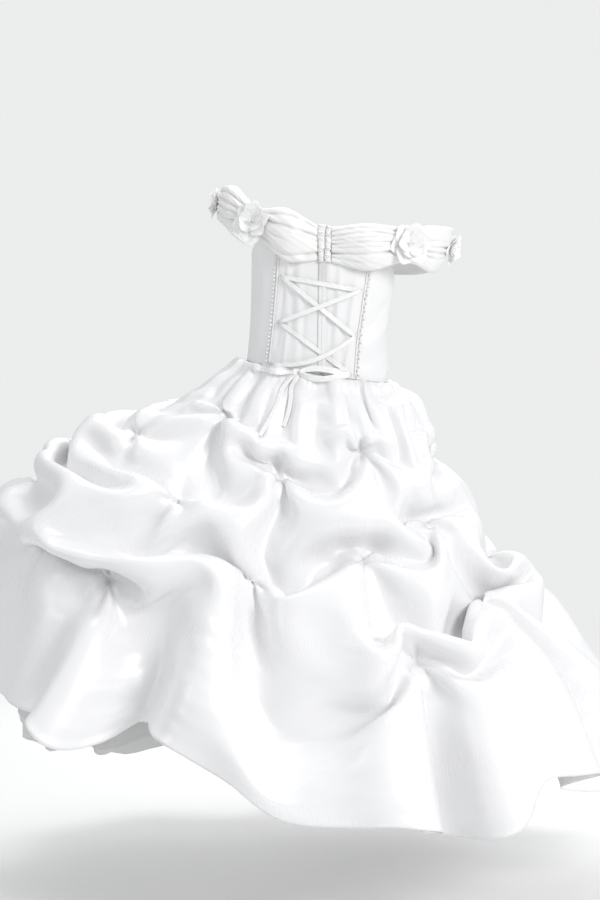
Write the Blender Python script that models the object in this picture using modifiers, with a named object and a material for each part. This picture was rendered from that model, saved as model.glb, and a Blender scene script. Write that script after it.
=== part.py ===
"""Flower girl dress: a laced satin bodice, a pleated off-shoulder collar with fabric flowers,
and a full pick-up skirt over a lining, worn and held out at the wearer's left.

Metres, +Z up, +Y the way the wearer faces.  The origin is the middle of the waist seam,
where the wearer's waist holds the dress.  Angles go round the body: 0 degrees is +X, the
wearer's right, 90 is the front, 180 the left and 270 the back.
"""
import math

import bpy
import numpy as np
from mathutils import Vector

# ---------------------------------------------------------------- driving sizes
CLOTH = 0.0015            # thickness of every cloth wall
SEAM_GAP = 0.0003         # what meshes that touch keep between them
SEAM_ALLOWANCE = 0.0005   # between panels sewn edge to edge round a curve
LEAN = -0.155             # height gained for each metre towards +X: the body leans
OVAL = 2.3                # power of the body's oval sections, 2 is an ellipse

# Bodice sections: height over the waist, half width, depth at the back and at the front,
# and the middle of the section along X.
BODICE = (
    (0.000, 0.1030, 0.0780, 0.0780, -0.0024),
    (0.050, 0.1005, 0.0765, 0.0790, -0.0005),
    (0.110, 0.1020, 0.0795, 0.0860, 0.0030),
    (0.170, 0.1045, 0.0820, 0.0920, 0.0065),
    (0.230, 0.1035, 0.0800, 0.0880, 0.0090),
)
# Height of the bodice's top edge by angle: high at the back and front, low under the arms.
TOP_EDGE = ((0, 0.152), (30, 0.168), (60, 0.188), (90, 0.188), (120, 0.188), (150, 0.172),
            (180, 0.160), (210, 0.180), (235, 0.190), (270, 0.192), (305, 0.188), (330, 0.176),
            (360, 0.152))
# Seams of the bodice: angle at the waist and at the top edge.
SEAMS = {
    "side_right": (0.0, 0.0),
    "front_right": (58.0, 55.0),
    "front_left": (122.0, 125.0),
    "side_left": (180.0, 180.0),
    "back_left": (228.8, 235.2),
    "zip": (272.1, 269.0),
    "back_right": (298.4, 306.0),
    "side_right_again": (360.0, 360.0),
}
# Panels of the bodice: the seam on each side, and how many facets across.
PANELS = (
    ("bodice_front_side_right", "side_right", "front_right", 6),
    ("bodice_front_centre", "front_right", "front_left", 7),
    ("bodice_front_side_left", "front_left", "side_left", 6),
    ("bodice_side_back_left", "side_left", "back_left", 5),
    ("bodice_back_left", "back_left", "zip", 5),
    ("bodice_back_right", "zip", "back_right", 5),
    ("bodice_side_back_right", "back_right", "side_right_again", 6),
)
BODICE_ROWS = 5
PLACKET_WIDTH = 0.0115
PLACKET_CLOTH = 0.0010
PIPING_RADIUS = 0.0010
PEARL_RADIUS = 0.0014
PLACKET_LIFT = 0.0009     # the placket laps over both sides of the zip
TRIM_LIFT = 0.0005
TRIM_TOP = 0.86           # share of the bodice's height where the collar starts to cover it
PLACKET_TOP = 0.81

# Lacing: where the loops sit on the back, across and up.
LOOPS = {
    "left_1": (-0.0530, 0.1400), "left_2": (-0.0565, 0.0748), "left_3": (-0.0660, 0.0150),
    "right_1": (0.0572, 0.1200), "right_2": (0.0496, 0.0550), "right_3": (0.0430, 0.0010),
}
LOOP_RADIUS = 0.0030
LOOP_CORD = 0.0007
RIBBON_WIDTH = 0.0062
RIBBON_CLOTH = 0.0010
RIBBON_LEVEL = 0.0014     # from one layer of ribbon to the next
# Strands: from loop, to loop, layer, and how far the middle sags.
STRANDS = (
    ("lacing_top", "left_1", "right_1", 0, 0.000),
    ("lacing_cross_under", "left_1", "right_2", 1, 0.000),
    ("lacing_cross_over", "right_1", "left_2", 2, 0.000),
    ("lacing_lower", "left_2", "right_3", 0, 0.000),
    ("lacing_slack", "right_2", "left_3", 2, 0.014),
)
KNOT = (-0.0326, 0.0035)
KNOT_SIZE = (0.0075, 0.0040, 0.0060)
KNOT_LIFT = 0.0085
# Bow loops: the tip across and up, how far the loop opens off the back, and how far its two
# runs part up and down.
BOW_LOOPS = {
    "bow_loop_left": (-0.0860, 0.0110, 0.0060, 0.0008),
    "bow_loop_right": (0.0400, 0.0005, 0.0080, 0.0045),
}
# Free tails of the bow: places down the skirt as angle and share of the skirt's length.
BOW_TAILS = {
    "bow_tail_left": ((248.9, 0.055), (248.3, 0.105), (246.8, 0.155), (245.0, 0.205)),
    "bow_tail_right": ((254.2, 0.050), (255.2, 0.090), (255.4, 0.132), (254.2, 0.172)),
}
TAIL_WIDTH = 0.0060
TAIL_LIFT = 0.0040

# Collar, a row for each section: where it is, how high its top and bottom are, how far it
# balloons out, and how far its bottom edge lies inside its top edge.
COLLAR = (
    ("tab_left", -0.0030, -0.0838, 0.2150, 0.1620, 0.0030, 0.000),
    ("back_left", -0.0480, -0.0830, 0.2400, 0.1620, 0.0160, 0.000),
    ("flower_back_left", -0.0910, -0.0660, 0.2410, 0.1960, 0.0040, 0.000),
    ("sleeve_left", -0.1220, -0.0340, 0.2700, 0.2030, 0.0120, -0.004),
    ("flower_outer_left", -0.1370, 0.0080, 0.2690, 0.2200, 0.0040, -0.008),
    ("front_left", -0.1000, 0.0740, 0.2400, 0.1800, 0.0140, 0.000),
    ("centre_front", 0.0100, 0.0975, 0.2100, 0.1500, 0.0120, 0.000),
    ("front_right", 0.1330, 0.0740, 0.1990, 0.1400, 0.0140, 0.004),
    ("flower_outer_right", 0.1930, 0.0080, 0.2100, 0.1480, 0.0040, 0.024),
    ("sleeve_right", 0.1690, -0.0340, 0.2150, 0.1450, 0.0110, 0.012),
    ("flower_back_right", 0.1240, -0.0640, 0.2130, 0.1600, 0.0040, 0.000),
    ("back_right", 0.0700, -0.0830, 0.2180, 0.1480, 0.0160, 0.000),
    ("tab_right", 0.0165, -0.0838, 0.2130, 0.1600, 0.0030, 0.000),
)
# Collar pieces: first row, last row, facets along.
COLLAR_PIECES = (
    ("collar_back_left", "tab_left", "flower_back_left", 9),
    ("sleeve_band_left", "flower_back_left", "flower_outer_left", 7),
    ("collar_front", "flower_outer_left", "flower_outer_right", 18),
    ("sleeve_band_right", "flower_outer_right", "flower_back_right", 7),
    ("collar_back_right", "flower_back_right", "tab_right", 9),
)
COLLAR_PLEATS = 3
COLLAR_PLEAT_DEPTH = 0.0030
COLLAR_ROWS = 8
COLLAR_TURN_IN = 0.0080   # how far the top edge rolls in

# Flowers: the collar row each is sewn to, the way it faces, and its radius.
FLOWERS = (
    ("flower_back_left", (-0.46, -0.87, 0.12), 0.0275),
    ("flower_back_right", (0.46, -0.87, 0.08), 0.0300),
    ("flower_outer_left", (-0.97, 0.02, 0.14), 0.0230),
    ("flower_outer_right", (0.93, 0.02, -0.36), 0.0240),
)
FLOWER_LIFT = 0.0010
FLOWER_RISE = 0.0125      # how far the rim of the outer petals stands off the collar
PETALS = 5
INNER_SHARE = 0.55        # the inner layer's radius, as a share of the outer layer's
INNER_RISE = 0.0090
PETAL_CLOTH = 0.0010

# Skirt base: how far it stands out from the waist and how far it has dropped, by the share
# of the way down, on four sides.  The left is held out and up by the wearer's hand.
SHARE = (0.0, 0.12, 0.25, 0.40, 0.55, 0.70, 0.85, 1.0)
STAND_OUT = {
    "back": (0.0, 0.037, 0.082, 0.137, 0.197, 0.257, 0.312, 0.357),
    "right": (0.0, 0.037, 0.082, 0.132, 0.187, 0.247, 0.317, 0.382),
    "front": (0.0, 0.032, 0.072, 0.122, 0.172, 0.222, 0.267, 0.307),
    "left": (0.0, 0.087, 0.172, 0.257, 0.327, 0.372, 0.387, 0.382),
}
DROP = {
    "back": (0.0, 0.050, 0.120, 0.200, 0.290, 0.385, 0.485, 0.588),
    "right": (0.0, 0.029, 0.099, 0.174, 0.254, 0.344, 0.444, 0.560),
    "front": (0.0, 0.050, 0.120, 0.210, 0.300, 0.390, 0.485, 0.585),
    "left": (0.0, 0.051, 0.076, 0.131, 0.181, 0.276, 0.386, 0.506),
}
SKIRT_LENGTH = 0.68       # down the cloth from waist to hem, for measuring across folds
# Tacks, where the outer skirt is caught up to the lining: angle, share, depth, reach.
TACKS = (
    (222.5, 0.168, 0.018, 0.050), (225.5, 0.427, 0.030, 0.060), (219.8, 0.635, 0.038, 0.070),
    (254.7, 0.295, 0.030, 0.055), (251.5, 0.537, 0.038, 0.065),
    (292.8, 0.215, 0.022, 0.050), (284.3, 0.470, 0.038, 0.060), (295.0, 0.693, 0.040, 0.070),
    (320.8, 0.415, 0.034, 0.060), (327.2, 0.613, 0.036, 0.060),
    (352.0, 0.260, 0.026, 0.060), (3.0, 0.540, 0.038, 0.065),
    (31.0, 0.200, 0.022, 0.050), (27.0, 0.440, 0.036, 0.060), (38.0, 0.680, 0.038, 0.065),
    (62.0, 0.300, 0.028, 0.055), (57.0, 0.560, 0.036, 0.065),
    (92.0, 0.200, 0.020, 0.050), (86.0, 0.450, 0.036, 0.060), (96.0, 0.690, 0.038, 0.065),
    (121.0, 0.320, 0.028, 0.055), (117.0, 0.570, 0.036, 0.065),
    (150.0, 0.220, 0.022, 0.055), (146.0, 0.460, 0.036, 0.060), (153.0, 0.680, 0.036, 0.065),
    (178.0, 0.380, 0.030, 0.060), (183.0, 0.620, 0.036, 0.065),
)
# Folds: start, middle and end as angle and share, height out (less than 0 for a trough),
# spread above and below the crest, and how far the crest droops.
FOLDS = (
    # pouches that hang between the tacks at the back
    ((235, 0.25), (241, 0.40), (254, 0.31), 0.024, 0.060, 0.018, 0.020),
    ((256, 0.31), (272, 0.40), (291, 0.23), 0.030, 0.070, 0.018, 0.024),
    ((253, 0.41), (257, 0.53), (268, 0.50), 0.020, 0.050, 0.016, 0.016),
    ((296, 0.29), (305, 0.42), (320, 0.43), 0.026, 0.060, 0.018, 0.020),
    ((286, 0.48), (297, 0.59), (304, 0.50), 0.026, 0.060, 0.018, 0.022),
    ((271, 0.55), (275, 0.66), (263, 0.71), 0.024, 0.055, 0.020, 0.016),
    ((297, 0.70), (314, 0.76), (327, 0.63), 0.030, 0.070, 0.020, 0.024),
    ((222, 0.52), (235, 0.47), (252, 0.33), 0.018, 0.030, 0.024, 0.006),
    # the swags over the held-out side
    ((186, 0.47), (206, 0.53), (219, 0.50), 0.026, 0.060, 0.020, 0.020),
    ((196, 0.59), (208, 0.63), (218, 0.64), 0.022, 0.040, 0.020, 0.012),
    ((236, 0.55), (226, 0.72), (231, 0.88), 0.024, 0.050, 0.030, 0.000),
    # pouches at the right, the front and the left
    ((322, 0.43), (337, 0.56), (352, 0.30), 0.028, 0.065, 0.020, 0.022),
    ((329, 0.62), (345, 0.70), (1, 0.56), 0.028, 0.065, 0.020, 0.022),
    ((5, 0.34), (14, 0.42), (29, 0.24), 0.024, 0.060, 0.020, 0.018),
    ((5, 0.56), (20, 0.68), (36, 0.67), 0.028, 0.065, 0.020, 0.022),
    ((30, 0.45), (43, 0.56), (60, 0.33), 0.028, 0.065, 0.020, 0.022),
    ((59, 0.57), (72, 0.66), (86, 0.48), 0.028, 0.065, 0.020, 0.022),
    ((64, 0.30), (77, 0.40), (90, 0.24), 0.024, 0.060, 0.020, 0.018),
    ((89, 0.46), (103, 0.56), (119, 0.35), 0.028, 0.065, 0.020, 0.022),
    ((98, 0.69), (110, 0.74), (117, 0.60), 0.024, 0.060, 0.020, 0.018),
    ((120, 0.58), (133, 0.66), (145, 0.48), 0.028, 0.065, 0.020, 0.022),
    ((124, 0.32), (137, 0.42), (149, 0.26), 0.024, 0.060, 0.020, 0.018),
    ((149, 0.47), (163, 0.58), (176, 0.40), 0.028, 0.065, 0.020, 0.022),
    ((155, 0.68), (169, 0.74), (181, 0.63), 0.024, 0.060, 0.020, 0.018),
    # long cones that fall from the low tacks to the hem
    ((219, 0.68), (212, 0.84), (208, 1.02), 0.022, 0.030, 0.030, 0.000),
    ((220, 0.68), (221, 0.84), (222, 1.02), 0.026, 0.032, 0.032, 0.000),
    ((251, 0.58), (247, 0.80), (243, 1.02), 0.024, 0.034, 0.034, 0.000),
    ((253, 0.58), (256, 0.80), (258, 1.02), 0.026, 0.034, 0.034, 0.000),
    ((284, 0.52), (281, 0.76), (276, 1.02), 0.026, 0.034, 0.034, 0.000),
    ((285, 0.52), (289, 0.76), (290, 1.02), 0.024, 0.030, 0.030, 0.000),
    ((296, 0.73), (300, 0.86), (305, 1.02), 0.022, 0.034, 0.034, 0.000),
    ((327, 0.66), (322, 0.84), (318, 1.02), 0.022, 0.034, 0.034, 0.000),
    ((4, 0.60), (0, 0.80), (356, 1.02), 0.020, 0.036, 0.036, 0.000),
    ((38, 0.72), (36, 0.86), (33, 1.02), 0.022, 0.036, 0.036, 0.000),
    ((57, 0.60), (60, 0.80), (63, 1.02), 0.024, 0.036, 0.036, 0.000),
    ((96, 0.73), (94, 0.86), (91, 1.02), 0.022, 0.036, 0.036, 0.000),
    ((117, 0.61), (121, 0.80), (125, 1.02), 0.024, 0.036, 0.036, 0.000),
    ((153, 0.72), (152, 0.86), (150, 1.02), 0.022, 0.036, 0.036, 0.000),
    ((183, 0.66), (181, 0.84), (178, 1.02), 0.020, 0.036, 0.036, 0.000),
)
# Hem: how much lower it hangs and how much further out it stands than the base, by angle.
HEM = (
    (0, 0.000, 0.00), (25, 0.010, 0.02), (50, -0.008, -0.01), (75, 0.010, 0.015), (105, -0.008, -0.01),
    (130, 0.010, 0.02), (155, -0.006, -0.01), (180, -0.010, 0.01), (200, -0.020, 0.02),
    (214, 0.010, 0.01), (225, 0.026, 0.01), (236, -0.075, -0.05), (246, -0.022, 0.02), (258, 0.000, 0.02),
    (270, 0.006, 0.01), (284, 0.006, 0.02), (291, 0.000, -0.03), (305, 0.004, 0.02), (322, 0.004, 0.02),
    (332, -0.010, -0.03), (345, 0.000, 0.01), (360, 0.000, 0.00),
)
SKIRT_COLUMNS = 32        # facets round each half of the outer skirt
SKIRT_ROWS = 18
SEAM_FACET = 0.012        # a narrow facet along each side seam keeps the seam's edges parallel
FOLD_LEAST_SPREAD = 0.026  # sharper folds than the facets can carry are softened to this
FOLD_STEPS = 16
LINING_COLUMNS = 19
LINING_ROWS = 5
LINING_INSET = 0.058      # how far the lining hangs inside the outer skirt's base
LINING_HEM = (
    (0, 0.955), (150, 0.955), (180, 1.000), (195, 1.050), (210, 1.000), (225, 0.920), (234, 1.010),
    (240, 0.960), (247, 0.875), (254, 0.875), (262, 0.905), (272, 0.925), (290, 0.925), (302, 0.900),
    (312, 0.870), (322, 0.870), (332, 0.900), (345, 0.930), (360, 0.955),
)

SATIN = ((0.93, 0.93, 0.94), 0.30)
SATIN_TRIM = ((0.92, 0.92, 0.91), 0.35)
PEARL = ((0.93, 0.91, 0.88), 0.22)
LINING = ((0.86, 0.86, 0.85), 0.65)


# ---------------------------------------------------------------- helpers
def start_clean():
    for old in list(bpy.data.objects):
        bpy.data.objects.remove(old, do_unlink=True)
    garment = bpy.data.collections.new("flower_girl_dress")
    bpy.context.scene.collection.children.link(garment)
    return garment


def material(name, look):
    colour, roughness = look
    made = bpy.data.materials.get(name) or bpy.data.materials.new(name)
    made.use_nodes = True
    shader = made.node_tree.nodes["Principled BSDF"]
    shader.inputs["Base Color"].default_value = (*colour, 1.0)
    shader.inputs["Roughness"].default_value = roughness
    shader.inputs["Metallic"].default_value = 0.0
    return made


def smooth_table(xs, ys, x):
    """A smooth curve through the table's rows, read at x, and straight beyond its ends."""
    xs = np.asarray(xs, float)
    ys = np.asarray(ys, float)
    slopes = np.gradient(ys, xs)
    inside = np.clip(x, xs[0], xs[-1])
    i = np.clip(np.searchsorted(xs, inside) - 1, 0, len(xs) - 2)
    step = xs[i + 1] - xs[i]
    s = (inside - xs[i]) / step
    curve = ((2 * s**3 - 3 * s**2 + 1) * ys[i] + (s**3 - 2 * s**2 + s) * step * slopes[i]
             + (3 * s**2 - 2 * s**3) * ys[i + 1] + (s**3 - s**2) * step * slopes[i + 1])
    return curve + (x - inside) * np.where(x > inside, slopes[-1], slopes[0])


def by_angle(rows, column, degrees):
    """A column of a table whose first column is the angle, read all round the body."""
    table = np.array(rows, float)
    return smooth_table(table[:, 0], table[:, column], np.mod(degrees, 360.0))


def oval(degrees, half_width, depth_back, depth_front):
    c = np.cos(np.radians(degrees))
    s = np.sin(np.radians(degrees))
    depth = np.where(s < 0, depth_back, depth_front)
    return (half_width * np.sign(c) * np.abs(c) ** (2 / OVAL),
            depth * np.sign(s) * np.abs(s) ** (2 / OVAL))


def cloth_object(name, grid, look, thickness=CLOTH):
    """A wall of cloth from rows of points: grid[i][j] runs round the body with i and down
    with j, and the outer face is the one the points lie on."""
    grid = np.asarray(grid, float)
    across, down = grid.shape[:2]
    faces = [(i * down + j, i * down + j + 1, (i + 1) * down + j + 1, (i + 1) * down + j)
             for i in range(across - 1) for j in range(down - 1)]
    mesh = bpy.data.meshes.new(name)
    mesh.from_pydata([tuple(p) for p in grid.reshape(-1, 3)], [], faces)
    piece = place(name, mesh, look)
    wall = piece.modifiers.new("wall", "SOLIDIFY")
    wall.thickness = thickness
    wall.offset = -1.0
    return piece


def place(name, mesh, look):
    mesh.materials.append(material(name, look))
    mesh.shade_smooth()
    piece = bpy.data.objects.new(name, mesh)
    GARMENT.objects.link(piece)
    return piece


def cord_object(name, points, radius, look):
    """A round cord along a list of points."""
    curve = bpy.data.curves.new(name, "CURVE")
    curve.dimensions = "3D"
    spline = curve.splines.new("POLY")
    spline.points.add(len(points) - 1)
    for knot, point in zip(spline.points, points):
        knot.co = (*point, 1.0)
    curve.bevel_depth = radius
    curve.bevel_resolution = 1
    curve.use_fill_caps = True
    curve.materials.append(material(name, look))
    piece = bpy.data.objects.new(name, curve)
    GARMENT.objects.link(piece)
    return piece


def ribbon_object(name, points, sideways, width, look, thickness=RIBBON_CLOTH):
    """A flat ribbon along a list of points; sideways gives the way its width lies at each."""
    points = np.asarray(points, float)
    sideways = np.broadcast_to(np.asarray(sideways, float), points.shape)
    half = 0.5 * width * sideways / np.linalg.norm(sideways, axis=1)[:, None]
    return cloth_object(name, np.stack([points - half, points + half]), look, thickness)


# ---------------------------------------------------------------- bodice
def bodice_point(degrees, height, lift=0.0):
    """A point of the bodice's outer face, moved out by lift."""
    degrees = np.asarray(degrees, float)
    height = np.broadcast_to(np.asarray(height, float), degrees.shape)
    rows = np.array(BODICE)
    half_width, back, front, middle = (smooth_table(rows[:, 0], rows[:, k], height) for k in (1, 2, 3, 4))
    x, y = oval(degrees, half_width, back, front)
    depth = np.where(y < 0, back, front)
    out_x = np.sign(x) * np.abs(x / half_width) ** (OVAL - 1) / half_width
    out_y = np.sign(y) * np.abs(y / depth) ** (OVAL - 1) / depth
    size = np.hypot(out_x, out_y)
    x = x + middle
    return np.stack([x + lift * out_x / size, y + lift * out_y / size, height + LEAN * x], axis=-1)


def back_point(x, z, lift):
    """The point of the bodice's back at a place across and up, moved out by lift."""
    x = np.asarray(x, float)
    height = np.asarray(z, float) - LEAN * x
    rows = np.array(BODICE)
    half_width, middle = (smooth_table(rows[:, 0], rows[:, k], height) for k in (1, 4))
    share = np.clip((x - middle) / half_width, -1, 1)
    degrees = 360.0 - np.degrees(np.arccos(np.sign(share) * np.abs(share) ** (OVAL / 2)))
    return bodice_point(degrees, height, lift)


def seam_angle(seam, share):
    waist, top = SEAMS[seam]
    return waist + (top - waist) * share


def make_bodice():
    for name, first, last, facets in PANELS:
        u, v = np.meshgrid(np.linspace(0, 1, facets + 1), np.linspace(1, 0, BODICE_ROWS + 1), indexing="ij")
        trim = math.degrees(0.5 * SEAM_ALLOWANCE / 0.1)
        degrees = (seam_angle(first, v) + trim) * (1 - u) + (seam_angle(last, v) - trim) * u
        top = by_angle(TOP_EDGE, 1, degrees)
        cloth_object(name, bodice_point(degrees, SEAM_GAP + v * top), SATIN)


def make_placket():
    v = np.linspace(PLACKET_TOP, 0.02, 8)
    seam = seam_angle("zip", v)
    middle = bodice_point(seam, v * by_angle(TOP_EDGE, 1, seam))
    grid = []
    for across in (-0.5 * PLACKET_WIDTH, 0.0, 0.5 * PLACKET_WIDTH):
        x, z = middle[:, 0] + across, middle[:, 2] + LEAN * across
        grid.append(back_point(x, z, PLACKET_LIFT + PLACKET_CLOTH))
    cloth_object("zip_placket", grid, SATIN_TRIM, PLACKET_CLOTH)


def make_princess_trim():
    for side, seam, inward in (("left", "back_left", 1), ("right", "back_right", -1)):
        v = np.linspace(TRIM_TOP, 0.03, 12)
        angle = seam_angle(seam, v)
        height = v * by_angle(TOP_EDGE, 1, angle)
        for kind, radius, shift, look in (("piping", PIPING_RADIUS, 0.0018, SATIN_TRIM),
                                          ("pearl_row", PEARL_RADIUS, -0.0032, PEARL)):
            turned = angle + inward * math.degrees(shift / 0.1)
            path = bodice_point(turned, height, radius + TRIM_LIFT)
            cord_object(f"{kind}_{side}", path, radius, look)


# ---------------------------------------------------------------- lacing and bow
def ring_object(name, middle, out, radius, thick, look):
    bpy.ops.mesh.primitive_torus_add(major_radius=radius, minor_radius=thick, major_segments=10,
                                     minor_segments=4, location=middle)
    ring = bpy.context.object
    ring.name = name
    ring.rotation_euler = Vector(out).to_track_quat("Z", "Y").to_euler()
    ring.data.materials.append(material(name, look))
    ring.data.shade_smooth()
    for collection in list(ring.users_collection):
        collection.objects.unlink(ring)
    GARMENT.objects.link(ring)


def make_loops():
    for name, (x, z) in LOOPS.items():
        low = back_point(x, z, LOOP_CORD + SEAM_GAP + 0.0002)
        out = back_point(x, z, 0.01) - low
        ring_object(f"lacing_loop_{name}", low, out, LOOP_RADIUS, LOOP_CORD, SATIN_TRIM)


def make_strands():
    first_lift = 2 * LOOP_CORD + 3 * SEAM_GAP + RIBBON_CLOTH
    for name, start, end, layer, sag in STRANDS:
        s = np.linspace(0, 1, 13)
        a = np.array(LOOPS[start])
        b = np.array(LOOPS[end])
        x = a[0] + (b[0] - a[0]) * s
        z = a[1] + (b[1] - a[1]) * s - sag * 4 * s * (1 - s)
        points = back_point(x, z, first_lift + layer * RIBBON_LEVEL)
        along = np.gradient(points, axis=0)
        out = back_point(x, z, 0.02) - back_point(x, z, 0.0)
        ribbon_object(name, points, np.cross(out, along), RIBBON_WIDTH, SATIN_TRIM)


def make_bow():
    x, z = KNOT
    middle = back_point(x, z, KNOT_LIFT)
    bpy.ops.mesh.primitive_cube_add(size=1.0, location=middle)
    knot = bpy.context.object
    knot.name = "bow_knot"
    knot.scale = [2 * k for k in KNOT_SIZE]
    bpy.ops.object.transform_apply(location=False, rotation=False, scale=True)
    round_off = knot.modifiers.new("rounded", "SUBSURF")
    round_off.levels = 2
    round_off.render_levels = 2
    knot.data.materials.append(material("bow_knot", SATIN_TRIM))
    for collection in list(knot.users_collection):
        collection.objects.unlink(knot)
    GARMENT.objects.link(knot)
    for name, (tip_x, tip_z, opening, part) in BOW_LOOPS.items():
        side = math.copysign(1.0, tip_x - x)
        start = x + side * (KNOT_SIZE[0] * 0.74)
        turn = np.linspace(0, math.pi, 7)
        out_run = np.linspace(0, 1, 6)[:-1]
        span = tip_x - side * opening * 0.5 - start
        xs = np.concatenate([start + span * out_run, start + span + side * 0.5 * opening * np.sin(turn),
                             start + span * out_run[::-1]])
        lift = np.concatenate([np.full(5, 0.5), 0.5 * np.cos(turn), np.full(5, -0.5)]) * opening
        apart = part * np.sin(math.pi * np.clip((xs - start) / span, 0, 1)) * np.sign(lift)
        zs = z + (tip_z - z) * (xs - x) / (tip_x - x) + apart
        points = np.array([back_point(a, b, KNOT_LIFT + c) for a, b, c in zip(xs, zs, lift)])
        ribbon_object(name, points, (0, 0, 1) if side > 0 else (0, 0, -1), RIBBON_WIDTH, SATIN_TRIM)


def make_tails():
    knot = back_point(*KNOT, KNOT_LIFT)
    for side, (name, places) in zip((-1, 1), BOW_TAILS.items()):
        rows = np.array(places)
        on_skirt = skirt_point(rows[:, 0], rows[:, 1], TAIL_LIFT)
        under_knot = knot + np.array([side * 0.6 * TAIL_WIDTH, 0.0, -KNOT_SIZE[2]])
        route = np.vstack([under_knot, on_skirt])
        s = np.linspace(0, len(route) - 1, 13)
        points = np.stack([smooth_table(np.arange(len(route)), route[:, k], s) for k in range(3)], axis=-1)
        ribbon_object(name, points, (1.0, -0.35, -0.15), TAIL_WIDTH, SATIN_TRIM)


# ---------------------------------------------------------------- collar and flowers
def collar_point(place_along, down):
    """A point of the collar: place_along counts the rows of COLLAR, down goes from the rolled
    top edge at 0 to the bottom edge at 1."""
    rows = np.array([row[1:] for row in COLLAR])
    at = np.arange(len(rows))
    x, y, top, bottom, full, lean = (smooth_table(at, rows[:, k], place_along) for k in range(6))
    step = 0.01
    ahead_x, ahead_y = (smooth_table(at, rows[:, k], place_along + step) for k in (0, 1))
    back_x, back_y = (smooth_table(at, rows[:, k], place_along - step) for k in (0, 1))
    along = np.stack([ahead_x - back_x, ahead_y - back_y], axis=-1)
    along /= np.linalg.norm(along, axis=-1)[..., None]
    out_x, out_y = -along[..., 1], along[..., 0]
    belly = np.sin(np.pi * np.clip(down, 0, 1)) ** 0.8
    pleat = COLLAR_PLEAT_DEPTH * belly * np.cos(2 * np.pi * COLLAR_PLEATS * down)
    turn_in = COLLAR_TURN_IN * np.clip(1 - down / 0.10, 0, 1) ** 2
    out = full * belly + pleat * np.clip(full / 0.010, 0.3, 1.0) - turn_in - lean * down
    z = top + (bottom - top) * down - 0.4 * turn_in
    return np.stack([x + out_x * out, y + out_y * out, z], axis=-1)


def make_collar():
    names = [row[0] for row in COLLAR]
    for name, first, last, facets in COLLAR_PIECES:
        gap = 0.5 * SEAM_ALLOWANCE / 0.05
        start, end = names.index(first) + gap, names.index(last) - gap
        places_along = np.linspace(start, end, facets + 1)
        u, v = np.meshgrid(places_along, np.linspace(0, 1, COLLAR_ROWS + 1), indexing="ij")
        cloth_object(name, collar_point(u, v)[::-1], SATIN)
    left, right = np.array(COLLAR[0][1:]), np.array(COLLAR[-1][1:])
    grid = []
    for s in np.linspace(0, 1, 4):
        x, y, top, bottom, full, _ = left + (right - left) * s
        x += (0.0008 if s < 0.5 else -0.0008) if s in (0.0, 1.0) else 0.0
        down = np.linspace(0, 1, 8)
        y = y - full * np.sin(np.pi * down) ** 0.8
        grid.append(np.stack([np.full(8, x), y, top + (bottom - top) * down], axis=-1))
    cloth_object("collar_centre_tab", grid, SATIN)


def flower_layer(name, middle, facing, radius, rise, petals, turn, rings, look=SATIN):
    """One layer of petals: a shallow cup whose rim swings in and out petal by petal."""
    facets = petals * 4
    turn_to = Vector(facing).to_track_quat("Z", "Y").to_matrix()
    points = [(0.0, 0.0, 0.0)]
    for ring in range(1, rings + 1):
        share = ring / rings
        for k in range(facets):
            angle = 2 * math.pi * k / facets
            lobe = 0.72 + 0.28 * abs(math.cos(0.5 * petals * (angle - turn)))
            reach = radius * share * (1 - share + share * lobe)
            points.append((reach * math.cos(angle), reach * math.sin(angle), rise * share**1.1))
    faces = [(0, 1 + k, 1 + (k + 1) % facets) for k in range(facets)]
    for ring in range(1, rings):
        low, high = 1 + (ring - 1) * facets, 1 + ring * facets
        following = [(k + 1) % facets for k in range(facets)]
        faces += [(low + k, high + k, high + after, low + after) for k, after in enumerate(following)]
    mesh = bpy.data.meshes.new(name)
    mesh.from_pydata([tuple(Vector(middle) + turn_to @ Vector(p)) for p in points], [], faces)
    piece = place(name, mesh, look)
    wall = piece.modifiers.new("wall", "SOLIDIFY")
    wall.thickness = PETAL_CLOTH
    wall.offset = -1.0


def make_flowers():
    names = [row[0] for row in COLLAR]
    for name, facing, radius in FLOWERS:
        out = Vector(facing).normalized()
        middle = Vector(collar_point(names.index(name), 0.5)) + out * (PETAL_CLOTH + FLOWER_LIFT)
        flower_layer(f"{name}_outer_petals", middle, facing, radius, FLOWER_RISE, PETALS, 0.0, 3)
        inner = middle + out * (PETAL_CLOTH + 2 * SEAM_GAP)
        flower_layer(f"{name}_inner_petals", inner, facing, INNER_SHARE * radius, INNER_RISE, PETALS,
                     math.pi / PETALS, 2)


# ---------------------------------------------------------------- skirt and lining
def side_weights(degrees):
    c = np.cos(np.radians(degrees))
    s = np.sin(np.radians(degrees))
    return {"right": np.where(c > 0, c * c, 0.0), "left": np.where(c < 0, c * c, 0.0),
            "front": np.where(s > 0, s * s, 0.0), "back": np.where(s < 0, s * s, 0.0)}


def skirt_base(degrees, share):
    """The skirt's bell without its tacks and folds."""
    middle = BODICE[0][4]
    half_width, back, front = BODICE[0][1:4]
    x, y = oval(degrees, half_width, back, front)
    x = x + middle
    z = LEAN * x - SEAM_GAP
    weights = side_weights(degrees)
    out = sum(weights[side] * smooth_table(SHARE, STAND_OUT[side], share) for side in weights)
    drop = sum(weights[side] * smooth_table(SHARE, DROP[side], share) for side in weights)
    near_hem = np.clip(share, 0, 1) ** 4
    drop = drop + near_hem * by_angle(HEM, 1, degrees)
    out = out + near_hem * by_angle(HEM, 2, degrees)
    c = np.cos(np.radians(degrees))
    s = np.sin(np.radians(degrees))
    return np.stack([x + out * c, y + out * s, z - drop], axis=-1)


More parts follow.
